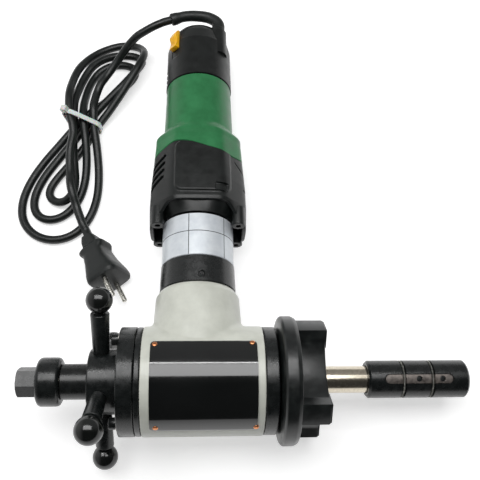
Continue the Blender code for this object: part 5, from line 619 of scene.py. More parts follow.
# Satin enamel on sand-cast aluminium: a warm light grey under which the casting's soft waves show.
GREY_ENAMEL = finish("grey enamel on cast aluminium", "#D0D2C8", "#C3C5BB", 14.0, (0.30, 0.38), 0.05, 1.6,
                     **{"IOR": 1.5, "Coat Weight": 0.15, "Coat Roughness": 0.2})
turn = full_turn(HOUSING_SIDES)
fillet = NECK_FILLET * (1 - NECK_THIN_SHARE * np.cos(turn) ** 2)
quarter = np.linspace(0, math.pi / 2, FILLET_ROWS)[:, None]
around = NECK_RADIUS + fillet * (1 - np.sin(quarter))
height = np.sqrt(HOUSING_RADIUS ** 2 - (around * np.cos(turn)) ** 2)
lip_radius = NECK_TOP_RADIUS - NECK_CHAMFER
rows = [about_y(height[0] - NECK_SUNK, around[0], turn),
        *about_y(height + fillet * (1 - np.cos(quarter)), around, turn),
        about_y(NECK_SHOULDER - NECK_SHOULDER_LENGTH, NECK_TOP_RADIUS, turn),
        about_y(NECK_SHOULDER, NECK_TOP_RADIUS - NECK_SHOULDER_DROP, turn),
        about_y(NECK_LENGTH - NECK_LIP, lip_radius, turn), about_y(NECK_LENGTH, lip_radius - NECK_LIP, turn)]
barrel = spun([(HOUSING_BACK, 0), (HOUSING_BACK, HOUSING_RADIUS, HOUSING_EDGE),
               (HOUSING_FRONT, HOUSING_RADIUS, HOUSING_EDGE), (HOUSING_FRONT, 0)], sides=HOUSING_SIDES)
piece("gear_housing_casting", [barrel, skin(rows)], "housing", ["gear_housing"], GREY_ENAMEL)

# The rings that close the barrel: the keyed retainer and the rear cover behind it, and the bearing cap in
# front. All three are turned from steel and blackened. Each is given by its ends, its radius and its bore.
RINGS = (("rear_cover_ring", "rear_cover", -55.5, -43.8, 39.2, 20.1),
         ("retainer_ring", "bearing_retainer", -43.5, -39.3, 39.0, 20.1),
         ("front_cap_ring", "front_bearing_cap", 47.3, 56.6, 39.0, 24.0))
RING_EDGE = 1.1
RING_SIDES = 160
# Black oxide on turned steel: almost black, with an oily sheen in which the turning shows a little.
BLACK_OXIDE = finish("black oxide steel", "#161919", "#0E1111", 5.0, (0.22, 0.33), 0.01, 0.5,
                     **{"IOR": 1.5, "Specular IOR Level": 0.5})
for name, node, start, end, radius, bore in RINGS:
    profile = ((start, bore), (start, radius, RING_EDGE), (end, radius, RING_EDGE), (end, bore))
    piece(name, [spun(profile, sides=RING_SIDES, closed=True)], "housing", [node], BLACK_OXIDE)

# The rear cover's three cap screws: blackened, with a hexagonal socket, each on a bright washer, on a circle
# just inside the cover's edge.
COVER_FACE = -55.5
SCREW_CIRCLE = 33.3
SCREW_TURN = 43
SCREW_HEAD_RADIUS, SCREW_HEAD_LENGTH = 4.2, 5.0
SCREW_HEAD_ROUND = 0.6
SOCKET_RADIUS, SOCKET_DEPTH = 2.3, 2.5
SOCKET_CHAMFER = 0.25
WASHER_RADIUS, WASHER_BORE, WASHER_SIDES = 4.9, 2.4, 64
WASHER_THICKNESS, WASHER_EDGE = 0.5, 0.15
TO_LEFT = (-1, 0, 0)


def hexagon(angle, reach):
    """A hexagon's radius by angle: its flats' reach over the cosine of the angle from the nearest flat."""
    return reach / np.cos((angle + math.pi / 6) % (math.pi / 3) - math.pi / 6)


def socket_screw(origin, axis, radius, length, socket, depth, sides=72):
    """A skin of a cap screw's head: its round side, its rounded rim, and a hexagon sunk in its top."""
    axis, turn, circle = unit(axis), full_turn(sides), np.ones(sides)
    flats = hexagon(turn, socket * math.cos(math.pi / 6))
    rows = [(0.0, circle * radius), (length - SCREW_HEAD_ROUND, circle * radius),
            (length - SCREW_HEAD_ROUND / 4, circle * (radius - SCREW_HEAD_ROUND / 3)),
            (length, circle * (radius - SCREW_HEAD_ROUND)), (length, flats + SOCKET_CHAMFER),
            (length - SOCKET_CHAMFER, flats), (length - depth, flats)]
    way = ring_about(axis, turn)
    return skin([np.array(origin) + along * axis + reach[:, None] * way for along, reach in rows])


for k in range(3):
    place = about_x(COVER_FACE, SCREW_CIRCLE, math.radians(SCREW_TURN + 120 * k))
    washer = spun([(0, WASHER_BORE), (0, WASHER_RADIUS, WASHER_EDGE),
                   (WASHER_THICKNESS, WASHER_RADIUS, WASHER_EDGE), (WASHER_THICKNESS, WASHER_BORE)], place,
                  TO_LEFT, WASHER_SIDES, closed=True)
    piece(f"cover_washer_{k + 1}", [washer], "housing", None, BRIGHT_STEEL)
    head = socket_screw(place + (-WASHER_THICKNESS, 0, 0), TO_LEFT, SCREW_HEAD_RADIUS, SCREW_HEAD_LENGTH,
                        SOCKET_RADIUS, SOCKET_DEPTH)
    piece(f"cover_cap_screw_{k + 1}", [head], "housing", [f"cover_screw_{k + 1}"], BLACK_OXIDE)

# The nameplate: thin sheet, lacquered plain black, with round corners, bent round the barrel and held by a
# copper rivet near each corner.
PLATE_INNER, PLATE_OUTER = 39.8, 40.5
PLATE_START, PLATE_END = -32.5, 41.5
PLATE_TURN = 110.8
PLATE_HALF_TURN = 49.5
PLATE_CORNER, PLATE_EDGE = 3.0, 0.25
PLATE_ROWS, PLATE_COLUMNS = 60, 90
RIVETS = ((-29.6, 16.4, 36.5), (-28.4, -36.2, 17.1), (38.3, 17.3, 36.1), (40.7, -36.3, 16.8))
RIVET_SIDES = 32
RIVET_PROFILE = ((-1.2, 0), (-1.2, 1.9), (0.8, 1.9, 0.25), (1.3, 1.14, 0.4), (1.3, 0))
# Lacquered sheet: gloss black, a dark mirror for the soft box and the floor.
LACQUER = finish("black lacquered plate", "#0E1010", "#090B0B", 30.0, (0.09, 0.13), 0.002, 6.0,
                 **{"IOR": 1.5, "Coat Weight": 0.6, "Coat Roughness": 0.05})
# Hammered copper: a warm glint at each corner.
COPPER = finish("copper rivets", "#E39A6E", "#C98155", 1.0, (0.22, 0.34), 0.005, 0.4, **{"Metallic": 1.0})
x = PLATE_START + (PLATE_END - PLATE_START) * (1 - np.cos(np.linspace(0, math.pi, PLATE_ROWS))) / 2
into_corner = PLATE_CORNER - np.minimum(np.minimum(x - PLATE_START, PLATE_END - x), PLATE_CORNER)
cut = PLATE_CORNER - np.sqrt(np.maximum(0.0, PLATE_CORNER ** 2 - into_corner ** 2))
half_turn = math.radians(PLATE_HALF_TURN) - cut / PLATE_OUTER
angle = math.radians(PLATE_TURN) + half_turn[:, None] * np.linspace(-1, 1, PLATE_COLUMNS)
outer, inner = np.full(PLATE_COLUMNS, PLATE_OUTER), np.full(PLATE_COLUMNS, PLATE_INNER)
outer[[0, -1]] -= PLATE_EDGE
rows = about_x(x[:, None], np.concatenate([outer, inner])[None], np.concatenate([angle, angle[:, ::-1]], 1))
piece("bare_nameplate", [skin(rows)], "housing", ["nameplate"], LACQUER)
rivets = [spun(RIVET_PROFILE, place, (0, *place[1:]), RIVET_SIDES) for place in RIVETS]
piece("nameplate_rivets", rivets, "housing", None, COPPER)

# The adapter ring: a collar of blackened steel between the neck and the gearbox, with three set screws sunk
# in it.
ADAPTER_START, ADAPTER_END = 67.3, 89.0
ADAPTER_RADII = (29.6, 28.9)
ADAPTER_BORE = 20.6
ADAPTER_EDGE = 0.6
ADAPTER_ROWS, ADAPTER_COLUMNS = 46, 420
SET_SCREW_PLACE = 73.0
SET_SCREW_TURN = math.radians(5.6)
SET_SCREW_RADIUS, SET_SCREW_DEPTH = 2.4, 1.4
SET_SOCKET_RADIUS, SET_SOCKET_DEPTH = 1.1, 1.2
POCKET_EDGE = 0.35


def s_curve(share):
    """A share that starts and ends gently: 3 s^2 - 2 s^3."""
    return share * share * (3 - 2 * share)


def sunk(distance, depth, edge=POCKET_EDGE):
    """How deep a pocket is, by the signed distance from its outline: its depth inside it, nothing outside it,
    and an S-curve between them over the width of its edge."""
    return depth * s_curve(np.clip(0.5 - distance / edge, 0.0, 1.0))


def from_angle(turn, angle):
    """How far angles lie from one of them, the short way round."""
    return np.mod(turn - angle + math.pi, 2 * math.pi) - math.pi


turn = full_turn(ADAPTER_COLUMNS)
y = np.linspace(ADAPTER_START + ADAPTER_EDGE, ADAPTER_END - ADAPTER_EDGE, ADAPTER_ROWS)[:, None]
taper = (ADAPTER_RADII[1] - ADAPTER_RADII[0]) / (ADAPTER_END - ADAPTER_START)
radius = ADAPTER_RADII[0] + taper * (y - ADAPTER_START)
for place in (0.0, math.pi / 2, -math.pi / 2):
    hole = np.hypot(from_angle(turn, place + SET_SCREW_TURN) * ADAPTER_RADII[0], y - SET_SCREW_PLACE)
    radius = (radius - sunk(hole - SET_SCREW_RADIUS, SET_SCREW_DEPTH)
              - sunk(hole - SET_SOCKET_RADIUS, SET_SOCKET_DEPTH))
rows = [about_y(ADAPTER_START, ADAPTER_RADII[0] - ADAPTER_EDGE, turn), *about_y(y, radius, turn),
        about_y(ADAPTER_END, ADAPTER_RADII[1] - ADAPTER_EDGE, turn), about_y(ADAPTER_END, ADAPTER_BORE, turn),
        about_y(ADAPTER_START, ADAPTER_BORE, turn)]
piece("adapter_ring_black", [skin(rows, closed=True)], "housing", ["adapter_ring"], BLACK_OXIDE)

# The gearbox sleeve: a steel tube wrapped in silver foil and held between the adapter ring and the gear case.
# Thin lines are ruled on it in ink: one ring, and lines along it by their distance across.
SLEEVE_START, SLEEVE_END = 89.3, 124.7
SLEEVE_RADIUS, SLEEVE_BORE = 28.5, 25.7
SLEEVE_EDGE = 0.4
SLEEVE_ROWS, SLEEVE_COLUMNS = 90, 480
RULED_LINES = (-7.2, 20.2)
RULED_RING = 109.4
LINE_HALF_WIDTH, LINE_HEIGHT, LINE_ROOT = 0.3, 0.03, 0.1
LINE_END_GAP = 0.5
# Foil: cool and bright, with a soft sheen rather than a mirror.
SILVER_FOIL = finish("silver foil sleeve", "#DDE2E6", "#CDD3D9", 10.0, (0.30, 0.40), 0.006, 1.0,
                     **{"IOR": 1.5, "Metallic": 0.25})
# Printing ink: a flat dark grey.
INK = finish("dark printing ink", "#3A3F43", "#2F3437", 4.0, (0.45, 0.55), 0.004, 0.5, **{"IOR": 1.5})
y = np.linspace(SLEEVE_START + SLEEVE_EDGE, SLEEVE_END - SLEEVE_EDGE, SLEEVE_ROWS)[:, None]
turn = full_turn(SLEEVE_COLUMNS)
rows = [about_y(SLEEVE_START, SLEEVE_RADIUS - SLEEVE_EDGE, turn), *about_y(y, SLEEVE_RADIUS, turn),
        about_y(SLEEVE_END, SLEEVE_RADIUS - SLEEVE_EDGE, turn), about_y(SLEEVE_END, SLEEVE_BORE, turn),
        about_y(SLEEVE_START, SLEEVE_BORE, turn)]
piece("gearbox_foil_sleeve", [skin(rows, closed=True)], "housing", ["gearbox_sleeve"], SILVER_FOIL)
low, high = SLEEVE_RADIUS - LINE_ROOT, SLEEVE_RADIUS + LINE_HEIGHT
left, right = RULED_RING - LINE_HALF_WIDTH, RULED_RING + LINE_HALF_WIDTH
lines = [spun([(left, low), (left, high), (right, high), (right, low)], ORIGIN, TO_REAR, SLEEVE_COLUMNS // 2,
              closed=True)]
ends = np.array([[SLEEVE_START + LINE_END_GAP], [SLEEVE_END - LINE_END_GAP]])
for across in RULED_LINES:
    angle = math.asin(across / SLEEVE_RADIUS) + np.array((-1, 1, 1, -1)) * LINE_HALF_WIDTH / SLEEVE_RADIUS
    lines.append(skin(about_y(ends, np.array((low, low, high, high)), angle)))
piece("sleeve_ruled_lines", lines, "housing", None, INK)

# The gear case: the motor's black front shell, a rounded octagon moulded in glass-filled nylon, dished round
# the sleeve. At each side its front edge reaches forward in an ear, over two screw bosses. A raised panel lies
# on top, the left flank has four slanted vents, and the seam to the green shell is wavy.
CASE_FLATS = (34.5, 38.2, 39.3, 38.2)
CASE_POWER = 22.0
CASE_SEAM, CASE_SEAM_RISE, CASE_SEAM_RIGHT = 183.0, 7.0, 6.0
CASE_SEAM_TURN = math.radians(-28)
SEAM_SHARE = 0.945
SEAM_HALF_GAP, SEAM_ROUND, SEAM_DROP = 0.15, 0.6, 0.7
CASE_WAIST, CASE_WAIST_SHARE = 156.0, 0.99
CASE_BROADEST = 137.2
CASE_LIP, CASE_LIP_SHARE, CASE_LIP_ROUND = 134.5, 0.985, 0.8
CASE_LIP_EASE, CASE_INNER_ROUND, CASE_STEP_GAP = (0.2, 0.25), 0.5, 0.6
CASE_EAR, EAR_SINE = 15.5, 0.62
CASE_WALL = 3.0
CASE_ROWS, CASE_COLUMNS = (56, 40, 34), 480
CASE_STEP, CASE_FLOOR = 133.7, 132.5
DISH_SHARE, DISH_RADIUS = 0.5, 30.5
DISH_MOUTH = ((128.0, 29.6), (126.2, 29.0), (126.2, 26.5))
PANEL_PLACE, PANEL_HALF_SIZE, PANEL_CORNER = (3.5, 165.0), (22.0, 23.5), 6.0
PANEL_RISE, PANEL_EDGE = 1.3, 2.4
LATCH_PLACE, LATCH_HALF_SIZE, LATCH_CORNER = (18.0, 145.5), (5.0, 3.2), 1.0
LATCH_DEPTH, LATCH_EDGE = 1.6, 0.6
VENT_COUNT, VENT_PLACE, VENT_STEP = 4, (150.0, 11.0), 6.6
VENT_LEAN = math.radians(35)
VENT_HALF_WIDTH, VENT_HALF_LENGTH, VENT_DEPTH, VENT_EDGE = 1.3, 17.0, 5.0, 0.5
SLIT_PLACE, SLIT_HALF_WIDTH, SLIT_HALF_LENGTH, SLIT_DEPTH = (152.0, 8.0), 0.8, 8.0, 3.0
CREASE_PLACE, CREASE_BOW, CREASE_REACH = (164.0, 4.0), 0.035, 18.0
CREASE_HALF_WIDTH, CREASE_DEPTH, CREASE_EDGE = 0.5, 0.6, 0.8
BOSS_PLACES = [(side * 31.8, level * 17.5) for side in (-1, 1) for level in (-1, 1)]
BOSS_PROFILE = ((118.6, 2.1, 0.2), (118.6, 5.2, 0.5), (134.5, 5.2), (134.5, 2.1))
BOSS_SIDES, CASE_SCREW_SIDES = 48, 36
CASE_SCREW_PLACE, CASE_SCREW_RADIUS, CASE_SOCKET_RADIUS = 123.5, 2.0, 1.2
# The mould's spark-eroded texture is finer than this, in millimetres, and is drawn as coarse as it needs to be
# to show.
MOULD_GRAIN = 0.35
# Glass-filled nylon, black: matt from the mould's texture, with a dull sheen along its edges.
BLACK_NYLON = finish("black glass-filled nylon", "#101413", "#0B0E0D", 8.0, (0.32, 0.44), 0.02, MOULD_GRAIN,
                     **{"IOR": 1.53, "Specular IOR Level": 0.35})


def case_radius(angle):
    """The case's radius by angle, a rounded octagon: the sum of (cos / reach)^n over its flats, to -1 / n."""
    total = sum(np.maximum(0.0, np.cos(angle - k * math.pi / 4) / flat) ** CASE_POWER
                for k, flat in enumerate(CASE_FLATS * 2))
    return total ** (-1.0 / CASE_POWER)


def seam_line(angle):
    """Where the gear case meets the green shell: a cosine of twice the angle, and a rise at the right."""
    return (CASE_SEAM + CASE_SEAM_RISE * np.cos(2 * (angle - CASE_SEAM_TURN))
            + CASE_SEAM_RIGHT * np.maximum(0.0, np.sin(angle)) ** 2)


def capsule(across, along, half_width, half_length):
    """The signed distance from the outline of a slot with round ends: how far a place lies from the line
    between its ends' middles, less its half width."""
    return np.hypot(across, np.maximum(np.abs(along) - (half_length - half_width), 0.0)) - half_width


def leaning(across, along, lean):
    """Places seen by axes that are turned by a lean: across cos + along sin, and along cos - across sin."""
    return (across * math.cos(lean) + along * math.sin(lean), along * math.cos(lean) - across * math.sin(lean))


def round_box(across, along, half_size, corner):
    """The signed distance from the outline of a rounded rectangle: how far a place lies from the rectangle
    that its corners' middles make, less their radius."""
    a, b = np.abs(across) - half_size[0] + corner, np.abs(along) - half_size[1] + corner
    return np.hypot(np.maximum(a, 0), np.maximum(b, 0)) + np.minimum(np.maximum(a, b), 0) - corner


turn = full_turn(CASE_COLUMNS)
ear = np.clip((np.abs(np.sin(turn)) - EAR_SINE) / (1 - EAR_SINE), 0.0, 1.0)
lip = CASE_LIP - CASE_EAR * s_curve(ear)
seam = seam_line(turn) - SEAM_HALF_GAP
places = (seam - SEAM_ROUND, np.full_like(turn, CASE_WAIST), np.full_like(turn, CASE_BROADEST),
          lip + CASE_LIP_ROUND)
shares = (SEAM_SHARE, CASE_WAIST_SHARE, 1.0, CASE_LIP_SHARE)
steps = [np.arange(count)[:, None] / count for count in CASE_ROWS]
y = np.vstack([a + (b - a) * t for a, b, t in zip(places, places[1:], steps)] + [places[-1]])
share = np.vstack([a + (b - a) * t for a, b, t in zip(shares, shares[1:], steps)] + [shares[-1]])
plain = case_radius(turn)
radius = plain * share
x, z = radius * np.sin(turn), radius * np.cos(turn)
panel = round_box(x - PANEL_PLACE[0], y - PANEL_PLACE[1], PANEL_HALF_SIZE, PANEL_CORNER)
latch = round_box(x - LATCH_PLACE[0], y - LATCH_PLACE[1], LATCH_HALF_SIZE, LATCH_CORNER)
on_top = sunk(panel, PANEL_RISE, PANEL_EDGE) - sunk(latch, LATCH_DEPTH, LATCH_EDGE)
radius = radius + np.where(z > 0, on_top, 0.0)
for k in range(VENT_COUNT):
    ahead, above = y - VENT_PLACE[0] - VENT_STEP * k, z - VENT_PLACE[1]
    vent = capsule(*leaning(ahead, above, -VENT_LEAN), VENT_HALF_WIDTH, VENT_HALF_LENGTH)
    radius = radius - np.where(x < 0, sunk(vent, VENT_DEPTH, VENT_EDGE), 0.0)
slit = capsule(y - SLIT_PLACE[0], z - SLIT_PLACE[1], SLIT_HALF_WIDTH, SLIT_HALF_LENGTH)
above = z - CREASE_PLACE[1]
crease = np.abs(y - CREASE_PLACE[0] - CREASE_BOW * above ** 2) - CREASE_HALF_WIDTH
radius = radius - np.where(x > 0, sunk(slit, SLIT_DEPTH, VENT_EDGE), 0.0)
creased = (x > 0) & (np.abs(above) < CREASE_REACH)
radius = radius - np.where(creased, sunk(crease, CREASE_DEPTH, CREASE_EDGE), 0.0)
edge = plain * CASE_LIP_SHARE
inside = edge - CASE_WALL
rows = [about_y(seam, plain * SEAM_SHARE - SEAM_DROP, turn), *about_y(y, radius, turn),
        about_y(lip + CASE_LIP_EASE[0], edge - CASE_LIP_EASE[1], turn),
        about_y(lip, edge - CASE_LIP_ROUND, turn), about_y(lip, inside + CASE_INNER_ROUND, turn),
        about_y(lip + CASE_INNER_ROUND, inside, turn),
        about_y(np.maximum(lip + CASE_STEP_GAP, CASE_STEP), inside, turn),
        about_y(CASE_FLOOR, DISH_SHARE * inside + (1 - DISH_SHARE) * DISH_RADIUS, turn),
        *(about_y(place, reach, turn) for place, reach in DISH_MOUTH)]
skins = [skin(rows)] + [spun(BOSS_PROFILE, (across, 0, level), TO_REAR, BOSS_SIDES, closed=True)
                        for across, level in BOSS_PLACES]
piece("gear_case_shell", skins, "housing", ["gear_case"], BLACK_NYLON)
screws_and_shade_discs = [socket_screw((across, CASE_SCREW_PLACE, level), (0, -1, 0), CASE_SCREW_RADIUS, CASE_SCREW_RADIUS,
                       CASE_SOCKET_RADIUS, CASE_SOCKET_RADIUS, CASE_SCREW_SIDES)
          for across, level in BOSS_PLACES]
piece("case_screws", screws_and_shade_discs, "housing", None, BRIGHT_STEEL)

# The motor housing: the green shell, moulded in the same nylon. It runs from the case's wavy seam in over a
# shoulder to a round waist, and takes the rear cap.
TAPER_END, TAPER_SHARE = 198.0, 0.92
SHOULDER_START, SHOULDER_LENGTH = 202.0, 11.0
MOTOR_START, MOTOR_END = 214.0, 262.6
MOTOR_RADIUS, MOTOR_REAR_RADIUS = 29.7, 28.6
MOTOR_EDGE, MOTOR_WALL, MOTOR_SEAM_DROP = 0.5, 2.0, 0.6
MOTOR_ROWS, MOTOR_COLUMNS = (40, 24, 30), 360
# Glass-filled nylon, green: the same texture, a deep green with a soft sheen.
GREEN_NYLON = finish("green glass-filled nylon", "#2B7747", "#24693D", 12.0, (0.30, 0.42), 0.03, MOULD_GRAIN,
                     **{"IOR": 1.53, "Specular IOR Level": 0.35})
turn = full_turn(MOTOR_COLUMNS)
plain = case_radius(turn)
seam = seam_line(turn) + SEAM_HALF_GAP
y = seam + MOTOR_EDGE + (SHOULDER_START - seam - MOTOR_EDGE) * np.linspace(0, 1, MOTOR_ROWS[0])[:, None]
share = SEAM_SHARE + (TAPER_SHARE - SEAM_SHARE) * np.clip((y - seam) / (TAPER_END - seam), 0, 1)
s = np.linspace(0, 1, MOTOR_ROWS[1])[1:, None]
shoulder = plain * TAPER_SHARE * (1 - s_curve(s)) + MOTOR_RADIUS * s_curve(s)
waist = np.linspace(0, 1, MOTOR_ROWS[2])[:, None]
rows = [about_y(seam, plain * SEAM_SHARE - MOTOR_SEAM_DROP, turn), *about_y(y, plain * share, turn),
        *about_y(SHOULDER_START + SHOULDER_LENGTH * s, shoulder, turn),
        *about_y(MOTOR_START + (MOTOR_END - MOTOR_EDGE - MOTOR_START) * waist,
                 MOTOR_RADIUS + (MOTOR_REAR_RADIUS - MOTOR_RADIUS) * waist, turn),
        about_y(MOTOR_END, MOTOR_REAR_RADIUS - MOTOR_EDGE, turn),
        about_y(MOTOR_END, MOTOR_REAR_RADIUS - MOTOR_WALL, turn)]
piece("motor_housing_shell", [skin(rows)], "housing", ["motor_housing"], GREEN_NYLON)

# The rear cap: black nylon, round-ended, with vents in both flanks, the slider's track, and a gland for the
# cord. It pushes into the green shell and takes the switch.
CAP_PROFILE = ((262.9, 28.8), (263.4, 29.3), (305.0, 28.8), (317.9, 25.9), (325.0, 21.9), (327.2, 18.6),
               (328.0, 16.1), (328.0, 0.0))
CAP_ROWS, CAP_COLUMNS = (96, 60), 420
CAP_ROUNDINGS = 6
CAP_VENT_COUNT, CAP_VENT_DEPTH, CAP_VENT_EDGE, CAP_VENT_HALF_WIDTH = 3, 2.5, 0.6, 1.1
LEFT_VENT_PLACE, LEFT_VENT_STEP, LEFT_VENT_HALF_LENGTH = (270.0, 2.0), 5.4, 8.0
LEFT_VENT_LEAN = math.radians(30)
RIGHT_VENT_PLACE, RIGHT_VENT_STEP, RIGHT_VENT_HALF_LENGTH = 267.0, 5.2, 7.0
SLIDER_TURN = math.radians(-48)
TRACK_RADIUS, TRACK_EDGE = 29.0, 0.6
TRACKS = ((303.0, (4.6, 15.5), 1.5, 0.45), (304.0, (2.5, 9.0), 0.8, 2.2))
GLAND_PLACE, GLAND_SIDES = (17.2, 0, 16.0), 72
GLAND_PROFILE = ((292.0, 0), (292.0, 7.8), (319.6, 7.8, 0.5), (319.6, 6.6, 0.2), (316.0, 6.6), (316.0, 0))
keys = np.array(CAP_PROFILE)
walked = travelled(keys)
steps = np.concatenate([[0.0], np.linspace(walked[1], walked[2], CAP_ROWS[0]),
                        np.linspace(walked[2], walked[-1], CAP_ROWS[1])[1:]])
outline = np.stack([np.interp(steps, walked, keys[:, k]) for k in (0, 1)], 1)
bent = CAP_ROWS[0] + 2
for _ in range(CAP_ROUNDINGS):
    outline[bent:-1] = (outline[bent - 1:-2] + 2 * outline[bent:-1] + outline[bent + 1:]) / 4
turn = full_turn(CAP_COLUMNS)
y, radius = outline[:, :1], outline[:, 1:]
x, z = radius * np.sin(turn), radius * np.cos(turn)
for k in range(CAP_VENT_COUNT):
    ahead, above = y - LEFT_VENT_PLACE[0] - LEFT_VENT_STEP * k, z - LEFT_VENT_PLACE[1]
    left = capsule(*leaning(ahead, above, LEFT_VENT_LEAN), CAP_VENT_HALF_WIDTH, LEFT_VENT_HALF_LENGTH)
    right = capsule(y - RIGHT_VENT_PLACE - RIGHT_VENT_STEP * k, z, CAP_VENT_HALF_WIDTH,
                    RIGHT_VENT_HALF_LENGTH)
    radius = radius - sunk(np.where(x < 0, left, np.where(x > 0, right, 1.0)), CAP_VENT_DEPTH, CAP_VENT_EDGE)
track = from_angle(turn, SLIDER_TURN) * TRACK_RADIUS
for place, half_size, corner, depth in TRACKS:
    radius = radius - sunk(round_box(track, y - place, half_size, corner), depth, TRACK_EDGE)
gland = spun(GLAND_PROFILE, GLAND_PLACE, TO_REAR, GLAND_SIDES)
piece("rear_cap_shell", [skin(about_y(y, radius, turn)), gland], "housing", ["rear_cap"], BLACK_NYLON)

# The switch slider: a wedge of yellow acetal with a raised heel and toe, on a stem that runs in the cap's
# track.
SLIDER_SIDE = ((296.5, 27.6), (316.5, 27.6), (316.5, 29.8), (309.5, 32.6), (303.5, 30.4), (296.5, 32.6))
SLIDER_HALF_WIDTH = 4.4
SLIDER_CORNER = 0.5
SLIDER_EDGES = ((0.0, 0.5), (0.15, 0.15), (0.5, 0.0))
STEM_PLACE, STEM_HALF_SIZE, STEM_CORNER, STEM_ENDS = 306.5, (3.5, 2.5), 0.5, (24.6, 30.5)
# Acetal: waxy yellow, with light just under its skin.
YELLOW_ACETAL = finish("yellow acetal", "#FBC01C", "#EFAD08", 3.0, (0.28, 0.36), 0.01, 0.5,
                       **{"IOR": 1.48, "Subsurface Weight": 0.15, "Subsurface Scale": 0.002})
outline = rounded([(*corner, SLIDER_CORNER) for corner in SLIDER_SIDE], closed=True)
out = np.array((math.sin(SLIDER_TURN), 0, math.cos(SLIDER_TURN)))
across = np.array((math.cos(SLIDER_TURN), 0, -math.sin(SLIDER_TURN)))
sides = [(-SLIDER_HALF_WIDTH + step, inset) for step, inset in SLIDER_EDGES]
sides += [(-place, inset) for place, inset in sides[::-1]]
slider = swept(outline, sides, frame_axes=(TO_REAR, out, across))
stem = swept(oblong(*STEM_HALF_SIZE, STEM_CORNER), [(end, 0) for end in STEM_ENDS], (0, STEM_PLACE, 0),
             (TO_REAR, across, out))
piece("yellow_switch_slider", [slider, stem], "switch", ["switch_slider"], YELLOW_ACETAL)

# The feed hub: a boss turned from steel and blackened, that runs on the feed sleeve's thread. A journal on
# its front is held in the rear cover, so that turning it slides the mandrel. Each point is a place, a radius
# and a rounding.
HUB_PROFILE = ((-77.3, 13.1, 0.4), (-77.3, 23.5, 1.4), (-55.8, 23.5, 1.0), (-55.8, 19.7), (-47.0, 19.7),
               (-47.0, 13.1))
piece("feed_hub_boss", [spun(HUB_PROFILE, closed=True)], "handle", ["feed_hub"], BLACK_OXIDE)

# The four handles: spokes of blackened steel that are pressed into the hub and flare outward, each with a
# ball screwed onto its end. The ball is a half turn of a circle, cut flat where it meets the spoke.
ARM_PLACE, ARM_TURN = -68.7, 42.4
SPOKE_PROFILE = ((19.2, 0), (19.2, 5.0), (24.0, 5.0), (24.2, 6.0, 0.5), (53.4, 6.8, 0.8), (53.5, 4.0),
                 (59.0, 4.0), (59.0, 0))
BALL_RADIUS, BALL_REACH = 9.5, 63.3
BALL_SEAT, BALL_START = ((53.9, 0), (53.9, 4.4)), 54.2
BALL_STEPS, BALL_SHARP = 48, 60
SPOKE_SIDES, BALL_SIDES = 64, 72
# Phenolic, polished: jet black with a hard highlight.
BALL_PLASTIC = finish("black phenolic", "#121413", "#0B0D0C", 9.0, (0.12, 0.18), 0.003, 1.2,
                      **{"IOR": 1.56})
angle = np.linspace(0, math.pi, BALL_STEPS)
ball = np.stack([BALL_REACH - BALL_RADIUS * np.cos(angle), BALL_RADIUS * np.sin(angle)], 1)
ball_profile = [*BALL_SEAT, *ball[ball[:, 0] > BALL_START]]
for k in range(4):
    angle = math.radians(ARM_TURN + 90 * k)
    place, way = (ARM_PLACE, 0, 0), (0, math.cos(angle), math.sin(angle))
    spoke = spun(SPOKE_PROFILE, place, way, SPOKE_SIDES)
    piece(f"spoke_{k + 1}", [spoke], "handle", [f"handle_spoke_{k + 1}"], BLACK_OXIDE)
    ball = spun(ball_profile, place, way, BALL_SIDES)
    piece(f"ball_{k + 1}", [ball], "handle", [f"handle_ball_{k + 1}"], BALL_PLASTIC, sharp=BALL_SHARP)

# The draw bolt: a blackened hexagon on a stem inside the mandrel, where it pulls the coned rod. Its corners
# are turned off at both ends, so its radius is the smaller of the hexagon's and of a cone's.
BOLT_START, BOLT_END = -128.7, -114.5
BOLT_FLATS = 19.0
BOLT_REAR_LENGTH, BOLT_FRONT_LENGTH = 2.4, 1.2
BOLT_ROWS, BOLT_COLUMNS = (14, 6), 240
BOLT_CHAMFER, BOLT_FRONT_SHARE, BOLT_SLOPE = 1.2, 0.6, 1.7
BOLT_OVER_CORNER = 0.1
BOLT_SHARP = 24
STEM_PROFILE, STEM_SIDES = ((-115.5, 0), (-115.5, 4.0), (-66.5, 4.0, 0.5), (-66.5, 0)), 48
turn = full_turn(BOLT_COLUMNS)
flats = hexagon(turn - math.pi / 2, BOLT_FLATS / 2)
corner = BOLT_FLATS / 2 / math.cos(math.pi / 6) + BOLT_OVER_CORNER
x = np.concatenate([np.linspace(BOLT_START, BOLT_START + BOLT_REAR_LENGTH, BOLT_ROWS[0]),
                    np.linspace(BOLT_END - BOLT_FRONT_LENGTH, BOLT_END, BOLT_ROWS[1])])[:, None]
inset = np.maximum(BOLT_CHAMFER - (x - BOLT_START) * BOLT_SLOPE,
                   BOLT_CHAMFER * BOLT_FRONT_SHARE - (BOLT_END - x) * BOLT_SLOPE)
head = skin(about_x(x, np.minimum(flats, corner - np.maximum(0.0, inset)), turn))
stem = spun(STEM_PROFILE, sides=STEM_SIDES)
piece("draw_bolt_hex", [head, stem], "draw_bolt", ["draw_bolt"], BLACK_OXIDE, sharp=BOLT_SHARP)

# The stop nut and the feed sleeve: a round nut with rolled shoulders that ends the feed, blackened, and in
# front of it the threaded sleeve, ground and oiled, with a keyway below that keeps it from turning in the
# spindle.
NUT_PROFILE = ((-114.2, 10.1), (-114.2, 17.5, 3.6), (-97.6, 17.5, 3.6), (-97.6, 10.1))
FEED_START, FEED_END = -97.3, -13.0
FEED_RADIUS, FEED_BORE, FEED_EDGE = 12.8, 10.1, 0.4
FEED_COLUMNS = 240
KEYWAY_HALF_WIDTH, KEYWAY_DEPTH = 2.0, 1.8
